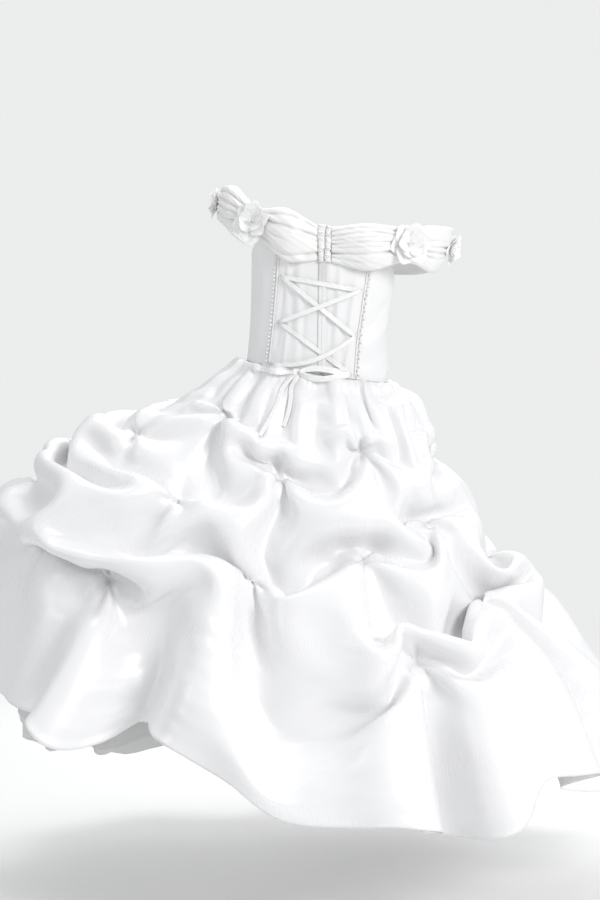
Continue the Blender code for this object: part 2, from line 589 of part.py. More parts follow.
def outward(surface, degrees, share):
    """The unit normal of a skirt surface."""
    round_it = surface(degrees + 0.5, share) - surface(degrees - 0.5, share)
    down_it = surface(degrees, share + 0.004) - surface(degrees, share - 0.004)
    normal = np.cross(down_it, round_it)
    return normal / np.linalg.norm(normal, axis=-1)[..., None]


def across_and_down(degrees, share, fold_degrees, fold_share):
    """How far a point of the skirt lies from a place on it, round and down, in metres."""
    radius = 0.095 + 0.32 * np.asarray(fold_share)
    turn = (degrees - fold_degrees + 180.0) % 360.0 - 180.0
    return np.radians(turn) * radius, (share - fold_share) * SKIRT_LENGTH


def soft_step(x):
    x = np.clip(x, 0, 1)
    return x * x * (3 - 2 * x)


def folds_at(degrees, share):
    """How far the tacks and folds move each point out, and how far they let it droop."""
    out = np.zeros(np.shape(degrees))
    droop = np.zeros(np.shape(degrees))
    for tack_degrees, tack_share, depth, reach in TACKS:
        across, down = across_and_down(degrees, share, tack_degrees, tack_share)
        out -= depth * np.exp(-np.hypot(across, down) / reach * 1.3)
    for start, middle, end, height, above, below, sag in FOLDS:
        start, middle, end = (np.array(p, float) for p in (start, middle, end))
        middle[0] = start[0] + (middle[0] - start[0] + 180) % 360 - 180
        end[0] = middle[0] + (end[0] - middle[0] + 180) % 360 - 180
        bend = 2 * middle - 0.5 * (start + end)
        s = np.linspace(0, 1, FOLD_STEPS + 1)
        path = ((1 - s)**2)[:, None] * start + (2 * s * (1 - s))[:, None] * bend + (s**2)[:, None] * end
        across, down = across_and_down(degrees[..., None], share[..., None], path[:, 0], path[:, 1])
        far = np.hypot(across, down)
        nearest = np.argmin(far, axis=-1)
        far = np.take_along_axis(far, nearest[..., None], -1)[..., 0]
        is_below = np.take_along_axis(down, nearest[..., None], -1)[..., 0] > 0
        spread = np.maximum(np.where(is_below, below, above), FOLD_LEAST_SPREAD)
        along = s[nearest]
        window = soft_step(along / 0.35)
        if end[1] < 1:
            window = window * soft_step((1 - along) / 0.35)
        weight = window * np.exp(-((far / spread) ** 2))
        out += height * weight
        droop += sag * weight
    return out, droop


def skirt_point(degrees, share, lift=0.0):
    """A point of the outer skirt, moved out by lift."""
    degrees = np.asarray(degrees, float)
    share = np.asarray(share, float)
    out, droop = folds_at(degrees, share)
    near_waist = soft_step(share / 0.10)
    points = skirt_base(degrees, share)
    points = points + outward(skirt_base, degrees, share) * (out * near_waist + lift)[..., None]
    points[..., 2] -= droop * near_waist
    return points


def lining_point(degrees, share):
    share = share * by_angle(LINING_HEM, 1, degrees)
    inset = CLOTH + 2 * SEAM_GAP + LINING_INSET * soft_step(share / 0.30)
    return skirt_base(degrees, share) - outward(skirt_base, degrees, share) * inset[..., None]


def make_skirt():
    halves = (("back", 180.0, 360.0), ("front", 0.0, 180.0))
    layers = (("skirt", skirt_point, SKIRT_COLUMNS, SKIRT_ROWS, SATIN),
              ("lining", lining_point, LINING_COLUMNS, LINING_ROWS, LINING))
    for layer, surface, columns, rows, look in layers:
        for side, first, last in halves:
            round_it = np.concatenate([[0.0], np.linspace(SEAM_FACET, 1 - SEAM_FACET, columns - 1), [1.0]])
            u, v = np.meshgrid(round_it, np.linspace(0, 1, rows + 1), indexing="ij")
            trim = np.degrees(0.5 * SEAM_ALLOWANCE / (0.095 + 0.32 * v))
            degrees = (first + trim) * (1 - u) + (last - trim) * u
            cloth_object(f"{layer}_{side}", surface(degrees, v), look)


GARMENT = start_clean()
make_bodice()
make_placket()
make_princess_trim()
make_loops()
make_strands()
make_bow()
make_tails()
make_collar()
make_flowers()
make_skirt()
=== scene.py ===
"""Flower girl dress in white bridal satin: the looks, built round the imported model.

Every piece is cut, folded and sewn the way the dress is made.  The outer skirt is laid over
its bell too long, its tacks are pulled up to the lining and the cloth is left to fall.
Metres, +Z up, +Y the way the wearer faces; angles go round the body from the wearer's right.
"""

import math

import bpy
import numpy as np
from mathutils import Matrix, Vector
from mathutils.bvhtree import BVHTree


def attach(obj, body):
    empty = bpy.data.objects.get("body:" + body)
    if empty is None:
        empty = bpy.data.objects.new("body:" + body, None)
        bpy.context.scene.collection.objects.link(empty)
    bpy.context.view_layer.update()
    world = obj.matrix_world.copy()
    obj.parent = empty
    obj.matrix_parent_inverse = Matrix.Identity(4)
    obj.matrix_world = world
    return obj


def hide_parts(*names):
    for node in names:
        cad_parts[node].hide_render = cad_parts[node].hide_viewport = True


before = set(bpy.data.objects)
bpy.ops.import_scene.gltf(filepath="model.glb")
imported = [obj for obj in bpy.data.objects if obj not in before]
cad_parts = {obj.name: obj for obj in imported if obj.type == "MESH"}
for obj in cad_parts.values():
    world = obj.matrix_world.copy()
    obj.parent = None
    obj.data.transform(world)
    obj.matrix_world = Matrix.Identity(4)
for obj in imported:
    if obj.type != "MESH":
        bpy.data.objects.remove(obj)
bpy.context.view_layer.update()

# ------------------------------------------------------------------ sizes of the studio
FLOOR = -0.742
FLOOR_RINGS, FLOOR_SPOKES, FLOOR_REACH = 12, 64, 2.6
CAMERA_PLACE, CAMERA_TILT = (-0.028, -3.6, 0.20), 85   # the tilt is up from straight down
SENSOR_WIDTH, LENS_LENGTH = 36.0, 98.5                 # millimetres
# Softboxes: name, place, aim, energy, size, colour.
SOFTBOXES = (
    ("key_softbox", (2.3, -2.5, 1.5), (0.05, 0.0, -0.15), 64.0, 1.3, (1.0, 0.995, 0.99)),
    ("left_softbox", (-2.6, -1.5, 1.4), (-0.1, 0.0, -0.2), 9.0, 1.2, (0.99, 0.99, 1.0)),
    ("top_softbox", (0.0, 0.5, 2.6), (0.0, 0.0, -0.2), 26.0, 1.6, (1.0, 1.0, 1.0)),
    ("front_softbox", (0.6, 2.9, 1.2), (0.0, 0.0, -0.2), 26.0, 1.8, (1.0, 1.0, 1.0)),
)
ROOM_LIGHT = {"Color": (0.97, 0.98, 1.0, 1.0), "Strength": 0.60}
BACKDROP = {"Color": (0.838, 0.846, 0.846, 1.0), "Strength": 1.0}

# ------------------------------------------------------------------ sizes shared with the frame
SEAM_GAP = 0.0003         # between the bodice and the skirt
HALF_SEAM = 0.00012       # half of the gap between panels sewn edge to edge
LEAN = -0.155             # height gained for each metre towards +X
OVAL = 2.3                # how square the waist's oval is; 2 is an ellipse
WAIST_RADIUS = 0.1        # about, to turn lengths at the waist into angles
# Bodice sections: height, half width, depth at the back, depth at the front, middle.
BODICE = (
    (0.000, 0.1030, 0.0780, 0.0780, -0.0024),
    (0.050, 0.1005, 0.0765, 0.0790, -0.0005),
    (0.110, 0.1020, 0.0795, 0.0860, 0.0030),
    (0.170, 0.1045, 0.0820, 0.0920, 0.0065),
    (0.230, 0.1035, 0.0800, 0.0880, 0.0090),
)
# The bodice's top edge: angle, height.
TOP_EDGE = ((0, 0.152), (30, 0.168), (60, 0.188), (90, 0.188), (120, 0.188), (150, 0.172),
            (180, 0.160), (210, 0.180), (235, 0.190), (270, 0.192), (305, 0.188), (330, 0.176),
            (360, 0.152))
# Seams: angle at the waist and at the top edge.
SEAMS = {
    "side_right": (0.0, 0.0), "front_right": (58.0, 55.0), "front_left": (122.0, 125.0),
    "side_left": (180.0, 180.0), "back_left": (228.8, 235.2), "zip": (272.1, 269.0),
    "back_right": (298.4, 306.0), "side_right_again": (360.0, 360.0),
}
# Panels: seam on each side, and the size of the flat cut.
PANELS = (
    ("bodice_front_side_right", "side_right", "front_right", (0.086, 0.175)),
    ("bodice_front_centre", "front_right", "front_left", (0.128, 0.190)),
    ("bodice_front_side_left", "front_left", "side_left", (0.086, 0.175)),
    ("bodice_side_back_left", "side_left", "back_left", (0.075, 0.175)),
    ("bodice_back_left", "back_left", "zip", (0.076, 0.195)),
    ("bodice_back_right", "zip", "back_right", (0.064, 0.192)),
    ("bodice_side_back_right", "back_right", "side_right_again", (0.086, 0.175)),
)
PLACKET_WIDTH, PLACKET_LENGTH = 0.0115, 0.160
# Lacing loops: across and up.
LOOPS = {
    "left_1": (-0.0530, 0.1400), "left_2": (-0.0565, 0.0748), "left_3": (-0.0660, 0.0150),
    "right_1": (0.0572, 0.1200), "right_2": (0.0496, 0.0550), "right_3": (0.0430, 0.0010),
}
# Lacing: from loop, to loop, layer, how far the middle sags.
STRANDS = (
    ("lacing_top", "left_1", "right_1", 0, 0.000),
    ("lacing_cross_under", "left_1", "right_2", 1, 0.000),
    ("lacing_cross_over", "right_1", "left_2", 2, 0.000),
    ("lacing_lower", "left_2", "right_3", 0, 0.000),
    ("lacing_slack", "right_2", "left_3", 2, 0.014),
)
RIBBON_WIDTH, RIBBON_CLOTH = 0.0062, 0.0007
RIBBON_LEVEL = 0.0014     # how much further out each layer of the lacing lies
# The knot: across and up, how far out, and its half sizes.
KNOT, KNOT_LIFT, KNOT_SIZE = (-0.0326, 0.0035), 0.0085, (0.0075, 0.0040, 0.0060)
# Bow loops: tip across and up, how thick the loop is, how far its strands part.
BOW_LOOPS = {
    "bow_loop_left": (-0.0860, 0.0110, 0.0060, 0.0008),
    "bow_loop_right": (0.0400, 0.0005, 0.0080, 0.0034),
}
# Bow tails: the places on the skirt that each passes, as angle and share of the way down.
BOW_TAILS = {
    "bow_tail_left": ((248.9, 0.055), (248.3, 0.105), (246.8, 0.155), (245.0, 0.205)),
    "bow_tail_right": ((254.2, 0.050), (255.2, 0.090), (255.4, 0.132), (254.2, 0.172)),
}
TAIL_WIDTH = 0.0060
# Collar sections: name, across, depth, top, bottom, how far it balloons, how far its lower edge
# goes in.
COLLAR = (
    ("tab_left", -0.0030, -0.0838, 0.2150, 0.1620, 0.0030, 0.000),
    ("back_left", -0.0480, -0.0830, 0.2400, 0.1620, 0.0160, 0.000),
    ("flower_back_left", -0.0910, -0.0660, 0.2410, 0.1960, 0.0040, 0.000),
    ("sleeve_left", -0.1220, -0.0340, 0.2700, 0.2030, 0.0120, -0.004),
    ("flower_outer_left", -0.1370, 0.0080, 0.2690, 0.2200, 0.0040, -0.008),
    ("front_left", -0.1000, 0.0740, 0.2400, 0.1800, 0.0140, 0.000),
    ("centre_front", 0.0100, 0.0975, 0.2100, 0.1500, 0.0120, 0.000),
    ("front_right", 0.1330, 0.0740, 0.1990, 0.1400, 0.0140, 0.004),
    ("flower_outer_right", 0.1930, 0.0080, 0.2100, 0.1480, 0.0040, 0.024),
    ("sleeve_right", 0.1690, -0.0340, 0.2150, 0.1450, 0.0110, 0.012),
    ("flower_back_right", 0.1240, -0.0640, 0.2130, 0.1600, 0.0040, 0.000),
    ("back_right", 0.0700, -0.0830, 0.2180, 0.1480, 0.0160, 0.000),
    ("tab_right", 0.0165, -0.0838, 0.2130, 0.1600, 0.0030, 0.000),
)
# The skirt's bell on each side: at each share of the way down, how far it stands out from the
# waist seam and how far it has dropped.
SHARE = (0.0, 0.12, 0.25, 0.40, 0.55, 0.70, 0.85, 1.0)
STAND_OUT = {
    "back": (0.0, 0.037, 0.082, 0.137, 0.197, 0.257, 0.312, 0.357),
    "right": (0.0, 0.037, 0.082, 0.132, 0.187, 0.247, 0.317, 0.382),
    "front": (0.0, 0.032, 0.072, 0.122, 0.172, 0.222, 0.267, 0.307),
    "left": (0.0, 0.087, 0.172, 0.257, 0.327, 0.372, 0.387, 0.382),
}
DROP = {
    "back": (0.0, 0.050, 0.120, 0.200, 0.290, 0.385, 0.485, 0.588),
    "right": (0.0, 0.029, 0.099, 0.174, 0.254, 0.344, 0.444, 0.560),
    "front": (0.0, 0.050, 0.120, 0.210, 0.300, 0.390, 0.485, 0.585),
    "left": (0.0, 0.051, 0.076, 0.131, 0.181, 0.276, 0.386, 0.506),
}
# Hem: angle, how much further it drops and how much further it stands out.
HEM = (
    (0, 0.000, 0.00), (25, 0.010, 0.02), (50, -0.008, -0.01), (75, 0.010, 0.015),
    (105, -0.008, -0.01), (130, 0.010, 0.02), (155, -0.006, -0.01), (180, -0.010, 0.01),
    (200, -0.020, 0.02), (214, 0.010, 0.01), (225, 0.026, 0.01), (236, -0.075, -0.05),
    (246, -0.022, 0.02), (258, 0.000, 0.02), (270, 0.006, 0.01), (284, 0.006, 0.02),
    (291, 0.000, -0.03), (305, 0.004, 0.02), (322, 0.004, 0.02), (332, -0.010, -0.03),
    (345, 0.000, 0.01), (360, 0.000, 0.00),
)
LINING_INSET = 0.058
# Where the lining ends: angle, share of the way down.
LINING_HEM = (
    (0, 0.955), (150, 0.955), (180, 1.000), (195, 1.050), (210, 1.000), (225, 0.920), (234, 1.010),
    (240, 0.960), (247, 0.875), (254, 0.875), (262, 0.905), (272, 0.925), (290, 0.925), (302, 0.900),
    (312, 0.870), (322, 0.870), (332, 0.900), (345, 0.930), (360, 0.955),
)


# ------------------------------------------------------------------ shader nodes
def wire(tree, node, sockets):
    """Give each named socket of a node its value, or the output that feeds it."""
    for socket, given in sockets.items():
        if isinstance(given, bpy.types.NodeSocket):
            tree.links.new(given, node.inputs[socket])
        else:
            node.inputs[socket].default_value = given


def add_node(tree, kind, sockets=None, **settings):
    """A new shader node with its settings and its sockets."""
    node = tree.nodes.new(f"ShaderNode{kind}")
    for setting, value in settings.items():
        setattr(node, setting, value)
    wire(tree, node, sockets or {})
    return node


def maths(tree, operation, *values):
    """One maths node; each value is a socket or a number."""
    return add_node(tree, "Math", dict(enumerate(values)), operation=operation).outputs[0]


def ranged(tree, value, sockets, **settings):
    """A value moved from one range to another."""
    return add_node(tree, "MapRange", {"Value": value, **sockets}, **settings).outputs["Result"]


def mixed(tree, share, colour, other):
    """Two colours mixed."""
    node = add_node(tree, "Mix", {"Factor": share, "A": colour, "B": other}, data_type="RGBA")
    return node.outputs["Result"]


def node_group(name, inputs, outputs):
    """A shader node group with its inputs as (name, kind, value) and its outputs as (name, kind):
    gives the group, the sockets given to it and the node that puts its results out."""
    group = bpy.data.node_groups.new(name, "ShaderNodeTree")
    for label, kind, value in inputs:
        socket = group.interface.new_socket(name=label, in_out="INPUT", socket_type=f"NodeSocket{kind}")
        if value is not None:
            socket.default_value = value
    for label, kind in outputs:
        group.interface.new_socket(name=label, in_out="OUTPUT", socket_type=f"NodeSocket{kind}")
    return group, group.nodes.new("NodeGroupInput").outputs, group.nodes.new("NodeGroupOutput")


def new_finish(name):
    """A new material, its tree and its shader."""
    finish = bpy.data.materials.new(name)
    finish.use_nodes = True
    return finish, finish.node_tree, finish.node_tree.nodes["Principled BSDF"]


# ------------------------------------------------------------------ camera, floor and light
def set_up_studio():
    scene = bpy.context.scene
    scene.view_settings.view_transform = "Standard"
    lens = bpy.data.cameras.new("studio_camera")
    lens.sensor_width = SENSOR_WIDTH
    lens.lens = LENS_LENGTH
    camera = bpy.data.objects.new("studio_camera", lens)
    scene.collection.objects.link(camera)
    camera.location = CAMERA_PLACE
    camera.rotation_euler = (math.radians(CAMERA_TILT), 0.0, 0.0)
    scene.camera = camera
    for name, place, aim, energy, size, colour in SOFTBOXES:
        light = bpy.data.lights.new(name, "AREA")
        light.energy = energy
        light.size = size
        light.color = colour
        lamp = bpy.data.objects.new(name, light)
        lamp.location = place
        lamp.rotation_euler = (Vector(aim) - Vector(place)).to_track_quat("-Z", "Y").to_euler()
        scene.collection.objects.link(lamp)
    world = bpy.data.worlds.new("pale_studio")
    scene.world = world
    world.use_nodes = True
    tree = world.node_tree
    room = tree.nodes["Background"]
    wire(tree, room, ROOM_LIGHT)
    seen = add_node(tree, "Background", BACKDROP)
    from_camera = add_node(tree, "LightPath").outputs["Is Camera Ray"]
    either = add_node(tree, "MixShader", {0: from_camera, 1: room.outputs[0], 2: seen.outputs[0]})
    wire(tree, tree.nodes["World Output"], {"Surface": either.outputs[0]})
    make_floor()


def make_floor():
    """A round floor, finer than it needs to be, so that its paint fades evenly."""
    points = [(0.0, 0.0, FLOOR)]
    for ring in range(1, FLOOR_RINGS + 1):
        reach = FLOOR_REACH * ring / FLOOR_RINGS
        for spoke in range(FLOOR_SPOKES):
            turn = 2 * math.pi * spoke / FLOOR_SPOKES
            points.append((reach * math.cos(turn), reach * math.sin(turn), FLOOR))
    round_it = [(k, (k + 1) % FLOOR_SPOKES) for k in range(FLOOR_SPOKES)]
    faces = [(0, 1 + k, 1 + after) for k, after in round_it]
    for ring in range(1, FLOOR_RINGS):
        low, high = 1 + (ring - 1) * FLOOR_SPOKES, 1 + ring * FLOOR_SPOKES
        faces += [(low + k, high + k, high + after, low + after) for k, after in round_it]
    mesh = bpy.data.meshes.new("studio_floor")
    mesh.from_pydata(points, [], faces)
    floor = bpy.data.objects.new("studio_floor", mesh)
    bpy.context.scene.collection.objects.link(floor)
    mesh.materials.append(floor_paint())


def floor_paint():
    """Pale matt floor paint that fades into the backdrop far from the dress."""
    paint, tree, shader = new_finish("floor_paint")
    place = add_node(tree, "TexCoord").outputs["Object"]
    far = add_node(tree, "VectorMath", {0: place}, operation="LENGTH").outputs["Value"]
    fade = ranged(tree, far, {"From Min": 0.95, "From Max": 2.3, "To Min": 1.0, "To Max": 0.0},
                  interpolation_type="SMOOTHSTEP")
    wire(tree, shader, {
        "Roughness": 0.55, "Base Color": (0.95, 0.95, 0.945, 1.0), "Alpha": fade,
        "Emission Color": (1.0, 1.0, 1.0, 1.0), "Emission Strength": 0.09})
    return paint


# ------------------------------------------------------------------ cloth finishes
def make_weave():
    """Satin floats along the warp, with the odd thicker thread."""
    group, given, results = node_group(
        "satin_weave",
        (("Cloth Place", "Vector", None), ("Threads per Metre", "Float", 1400.0), ("Slub", "Float", 0.15)),
        (("Height", "Float"), ("Slub Mask", "Float")))
    place = add_node(group, "SeparateXYZ", {0: given["Cloth Place"]}).outputs
    across = maths(group, "MULTIPLY", place["X"], given["Threads per Metre"])
    down = maths(group, "MULTIPLY", place["Y"], given["Threads per Metre"])
    warp = maths(group, "SINE", maths(group, "MULTIPLY", across, 2 * math.pi))
    step_over = maths(group, "ADD", maths(group, "MULTIPLY", down, 0.2),
                      maths(group, "MULTIPLY", across, 0.4))
    floats = maths(group, "SINE", maths(group, "MULTIPLY", step_over, 2 * math.pi))
    drawn_out = add_node(group, "CombineXYZ", {"X": maths(group, "MULTIPLY", place["X"], 950.0),
                                               "Y": maths(group, "MULTIPLY", place["Y"], 45.0)})
    uneven = add_node(group, "TexNoise", {"Vector": drawn_out.outputs[0], "Scale": 1.0, "Detail": 2.0})
    thick = uneven.outputs["Fac"]
    threads = maths(group, "ADD", maths(group, "MULTIPLY", warp, 0.35),
                    maths(group, "MULTIPLY", floats, 0.25))
    slubs = maths(group, "MULTIPLY", thick, given["Slub"])
    wire(group, results, {"Height": maths(group, "ADD", threads, slubs), "Slub Mask": thick})
    return group


def make_tone():
    """Slow changes of shade over a cloth, as where it has been handled and pressed."""
    group, given, results = node_group(
        "cloth_tone",
        (("Cloth", "Color", (0.9, 0.9, 0.9, 1.0)), ("Shade", "Color", (0.85, 0.85, 0.85, 1.0)),
         ("Patch Size", "Float", 9.0), ("Slub Mask", "Float", 0.5),
         ("Least Roughness", "Float", 0.3), ("Most Roughness", "Float", 0.4)),
        (("Colour", "Color"), ("Roughness", "Float")))
    place = add_node(group, "TexCoord").outputs["Object"]
    patches = add_node(group, "TexNoise", {"Vector": place, "Scale": given["Patch Size"], "Detail": 3.0})
    both = maths(group, "ADD", maths(group, "MULTIPLY", patches.outputs["Fac"], 0.75),
                 maths(group, "MULTIPLY", given["Slub Mask"], 0.25))
    spread = ranged(group, both, {"From Min": 0.3, "From Max": 0.7})
    least_and_most = {"To Min": given["Least Roughness"], "To Max": given["Most Roughness"]}
    wire(group, results, {"Colour": mixed(group, spread, given["Cloth"], given["Shade"]),
                          "Roughness": ranged(group, spread, least_and_most)})
    return group


def make_stitch_line():
    """A row of stitches at a set distance up from the cloth's lower edge, and how near to it each point lies,
    for the pucker and for the painted shade beside it.
    """
    group, given, results = node_group(
        "stitch_line",
        (("Cloth Place", "Vector", None), ("Row", "Float", 0.008), ("Pitch", "Float", 0.0026),
         ("Half Width", "Float", 0.0004)),
        (("Stitch", "Float"), ("Pucker and Shade", "Float")))
    place = add_node(group, "SeparateXYZ", {0: given["Cloth Place"]}).outputs
    away = maths(group, "ABSOLUTE", maths(group, "SUBTRACT", place["Y"], given["Row"]))
    on_row = maths(group, "LESS_THAN", away, given["Half Width"])
    along = maths(group, "FRACT", maths(group, "DIVIDE", place["X"], given["Pitch"]))
    in_stitch = maths(group, "LESS_THAN", along, 0.72)
    wire(group, results, {
        "Stitch": maths(group, "MULTIPLY", on_row, in_stitch),
        "Pucker and Shade": ranged(group, away, {"From Min": 0.0, "From Max": 0.0022, "To Min": 1.0, "To Max": 0.0})})
    return group


def cloth_finish(name, cloth, shade, roughness, bump=0.25, threads=1400.0, slub=0.12, patches=9.0,
                 sheen=0.10, shine=0.5, stitches=(), crease=None, shade_fade_along=None):
    """A woven cloth: its two shades, its least and most roughness, its rows of stitches with painted shade
    beside them, its painted shade deep in a crease, and the colour that its painted shade gives way to along
    its length: colour, from and to."""
    finish, tree, shader = new_finish(name)
    place = add_node(tree, "UVMap", uv_map="cloth_place").outputs[0]
    weave = add_node(tree, "Group", node_tree=GROUPS["satin_weave"])
    wire(tree, weave, {"Cloth Place": place, "Threads per Metre": threads, "Slub": slub})
    tone = add_node(tree, "Group", node_tree=GROUPS["cloth_tone"])
    wire(tree, tone, {"Cloth": (*cloth, 1.0), "Shade": (*shade, 1.0), "Patch Size": patches,
                      "Least Roughness": roughness[0], "Most Roughness": roughness[1],
                      "Slub Mask": weave.outputs["Slub Mask"]})
    height, colour = weave.outputs["Height"], tone.outputs["Colour"]
    for row, pitch, half_width in stitches:
        line = add_node(tree, "Group", node_tree=GROUPS["stitch_line"])
        wire(tree, line, {"Cloth Place": place, "Row": row, "Pitch": pitch, "Half Width": half_width})
        sunk = maths(tree, "MULTIPLY", line.outputs["Pucker and Shade"], -2.0)
        raised = maths(tree, "MULTIPLY", line.outputs["Stitch"], 2.5)
        height = maths(tree, "ADD", height, maths(tree, "ADD", sunk, raised))
        # painted shade: the cloth is darkened where it puckers beside each row of stitches
        stitch_shade = maths(tree, "MULTIPLY", line.outputs["Pucker and Shade"], 0.6)
        colour = mixed(tree, stitch_shade, colour, (*(0.88 * c for c in shade), 1.0))
    # painted shade: a darker, warmer colour laid deep in the creases
    if crease:
        depth = add_node(tree, "Attribute", attribute_name="crease_shade_mask")
        colour = mixed(tree, depth.outputs["Fac"], colour, (*crease, 1.0))
    # painted shade: the cloth's grey gives way along its length to the colour given, from and to
    if shade_fade_along:
        fade_colour, faded, unfaded = shade_fade_along
        along = add_node(tree, "SeparateXYZ", {0: place}).outputs["X"]
        fade = ranged(tree, along, {"From Min": unfaded, "From Max": faded})
        colour = mixed(tree, fade, colour, (*fade_colour, 1.0))
    relief = add_node(tree, "Bump", {"Strength": bump, "Distance": 0.0002, "Height": height})
    wire(tree, shader, {"Base Color": colour, "Roughness": tone.outputs["Roughness"],
                        "Normal": relief.outputs["Normal"], "Sheen Weight": sheen,
                        "Sheen Roughness": 0.45, "Specular IOR Level": shine})
    return finish


def pearl_finish():
    """Bead with a cream body and a faint cool bloom on top: painted sheen, strongest where the bead turns
    away from the camera.
    """
    finish, tree, shader = new_finish("pearl_bead")
    # painted sheen: the colour turns cooler and greyer as the surface turns away from the camera
    edge = add_node(tree, "LayerWeight", {"Blend": 0.35}).outputs["Facing"]
    place = add_node(tree, "TexCoord").outputs["Object"]
    cloud = add_node(tree, "TexNoise", {"Vector": place, "Scale": 420.0}).outputs["Fac"]
    wire(tree, shader, {
        "Base Color": mixed(tree, edge, (0.93, 0.915, 0.88, 1.0), (0.86, 0.85, 0.88, 1.0)),
        "Roughness": ranged(tree, cloud, {"To Min": 0.16, "To Max": 0.30}),
        "Coat Weight": 0.6, "Coat Roughness": 0.08})
    return finish


# ------------------------------------------------------------------ curves and surfaces
def smooth_table(xs, ys, x):
    """A smooth curve through the table's rows, read at x, and straight beyond its ends."""
    xs = np.asarray(xs, float)
    ys = np.asarray(ys, float)
    slopes = np.gradient(ys, xs)
    inside = np.clip(x, xs[0], xs[-1])
    i = np.clip(np.searchsorted(xs, inside) - 1, 0, len(xs) - 2)
    step = xs[i + 1] - xs[i]
    s = (inside - xs[i]) / step
    curve = ((2 * s**3 - 3 * s**2 + 1) * ys[i] + (s**3 - 2 * s**2 + s) * step * slopes[i]
             + (3 * s**2 - 2 * s**3) * ys[i + 1] + (s**3 - s**2) * step * slopes[i + 1])
    return curve + (x - inside) * np.where(x > inside, slopes[-1], slopes[0])


def by_angle(rows, column, degrees):
    table = np.array(rows, float)
    return smooth_table(table[:, 0], table[:, column], np.mod(degrees, 360.0))


def soft_step(x):
    x = np.clip(x, 0, 1)
    return x * x * (3 - 2 * x)


def unit(vectors):
    return vectors / np.maximum(np.linalg.norm(vectors, axis=-1), 1e-9)[..., None]


def ripple(x, seed, period):
    """A smooth uneven wave along x, from -1 to 1, its waves about a period long."""
    x = np.asarray(x, float)
    draw = np.random.default_rng(seed).uniform(0, 2 * math.pi, 3)
    waves = [math.sin(draw[k]) * 0.2 + 1.0 for k in range(3)]
    total = sum(np.sin(2 * math.pi * x / (period * rate * size) + phase)
                for rate, size, phase in zip((1.0, 0.63, 1.71), waves, draw))
    return total / 3.0 * 1.4


def oval(degrees, half_width, depth_back, depth_front):
    c = np.cos(np.radians(degrees))
    s = np.sin(np.radians(degrees))
    depth = np.where(s < 0, depth_back, depth_front)
    return (half_width * np.sign(c) * np.abs(c) ** (2 / OVAL),
            depth * np.sign(s) * np.abs(s) ** (2 / OVAL))


def bodice_point(degrees, height, lift=0.0):
    """A point of the bodice's outer face, moved out by lift."""
    degrees = np.asarray(degrees, float)
    height = np.broadcast_to(np.asarray(height, float), degrees.shape)
    rows = np.array(BODICE)
    half_width, back, front, middle = (smooth_table(rows[:, 0], rows[:, k], height) for k in (1, 2, 3, 4))
    x, y = oval(degrees, half_width, back, front)
    depth = np.where(y < 0, back, front)
    out_x = np.sign(x) * np.abs(x / half_width) ** (OVAL - 1) / half_width
    out_y = np.sign(y) * np.abs(y / depth) ** (OVAL - 1) / depth
    size = np.hypot(out_x, out_y)
    x = x + middle
    return np.stack([x + lift * out_x / size, y + lift * out_y / size, height + LEAN * x], axis=-1)


def back_point(x, z, lift):
    """The point of the bodice's back at a place across and up, moved out by lift."""
    x = np.asarray(x, float)
    height = np.asarray(z, float) - LEAN * x
    rows = np.array(BODICE)
    half_width, middle = (smooth_table(rows[:, 0], rows[:, k], height) for k in (1, 4))
    share = np.clip((x - middle) / half_width, -1, 1)
    degrees = 360.0 - np.degrees(np.arccos(np.sign(share) * np.abs(share) ** (OVAL / 2)))
    return bodice_point(degrees, height, lift)


def seam_angle(seam, share):
    waist, top = SEAMS[seam]
    return waist + (top - waist) * share


def skirt_base(degrees, share):
    """The skirt's bell without its tacks and folds."""
    middle = BODICE[0][4]
    half_width, back, front = BODICE[0][1:4]
    x, y = oval(degrees, half_width, back, front)
    x = x + middle
    z = LEAN * x - SEAM_GAP
    c = np.cos(np.radians(degrees))
    s = np.sin(np.radians(degrees))
    weights = {"right": np.where(c > 0, c * c, 0.0), "left": np.where(c < 0, c * c, 0.0),
               "front": np.where(s > 0, s * s, 0.0), "back": np.where(s < 0, s * s, 0.0)}
    out = sum(weights[side] * smooth_table(SHARE, STAND_OUT[side], share) for side in weights)
    drop = sum(weights[side] * smooth_table(SHARE, DROP[side], share) for side in weights)
    near_hem = np.clip(share, 0, 1) ** 4
    drop = drop + near_hem * by_angle(HEM, 1, degrees)
    out = out + near_hem * by_angle(HEM, 2, degrees)
    return np.stack([x + out * c, y + out * s, z - drop], axis=-1)


def outward(surface, degrees, share):
    """The unit normal of a skirt surface."""
    round_it = surface(degrees + 0.5, share) - surface(degrees - 0.5, share)
    down_it = surface(degrees, share + 0.004) - surface(degrees, share - 0.004)
    return unit(np.cross(down_it, round_it))


# ------------------------------------------------------------------ making pieces
def run_of(path):
    """The running length along a path."""
    return np.concatenate([[0.0], np.cumsum(np.linalg.norm(np.diff(path, axis=0), axis=1))])


def lengths_along(grid, axis):
    """The running length over a grid of points, averaged over its other way."""
    steps = np.linalg.norm(np.diff(grid, axis=axis), axis=-1).mean(axis=1 - axis)
    return np.concatenate([[0.0], np.cumsum(steps)])


def grid_faces(across, down, closed=False):
    ring = range(across) if closed else range(across - 1)
    return [(i * down + j, i * down + j + 1, (i + 1) % across * down + j + 1, (i + 1) % across * down + j)
            for i in ring for j in range(down - 1)]


def finished_mesh(name, points, faces, finish, spots=None, creases=None):
    """A smooth mesh with its finish and, where they are given, each point's place on the cloth and how deep
    in a crease it lies, which sets how much painted crease shade it takes."""
    mesh = bpy.data.meshes.new(name)
    mesh.from_pydata(np.asarray(points).tolist(), [], faces)
    if spots is not None:
        corners = np.empty(len(mesh.loops), int)
        mesh.loops.foreach_get("vertex_index", corners)
        mesh.uv_layers.new(name="cloth_place").data.foreach_set("uv", spots[corners].reshape(-1))
    if creases is not None:
        mesh.attributes.new("crease_shade_mask", "FLOAT", "POINT").data.foreach_set("value", creases.reshape(-1))
    mesh.shade_smooth()
    mesh.materials.append(FINISHES[finish])
    return mesh


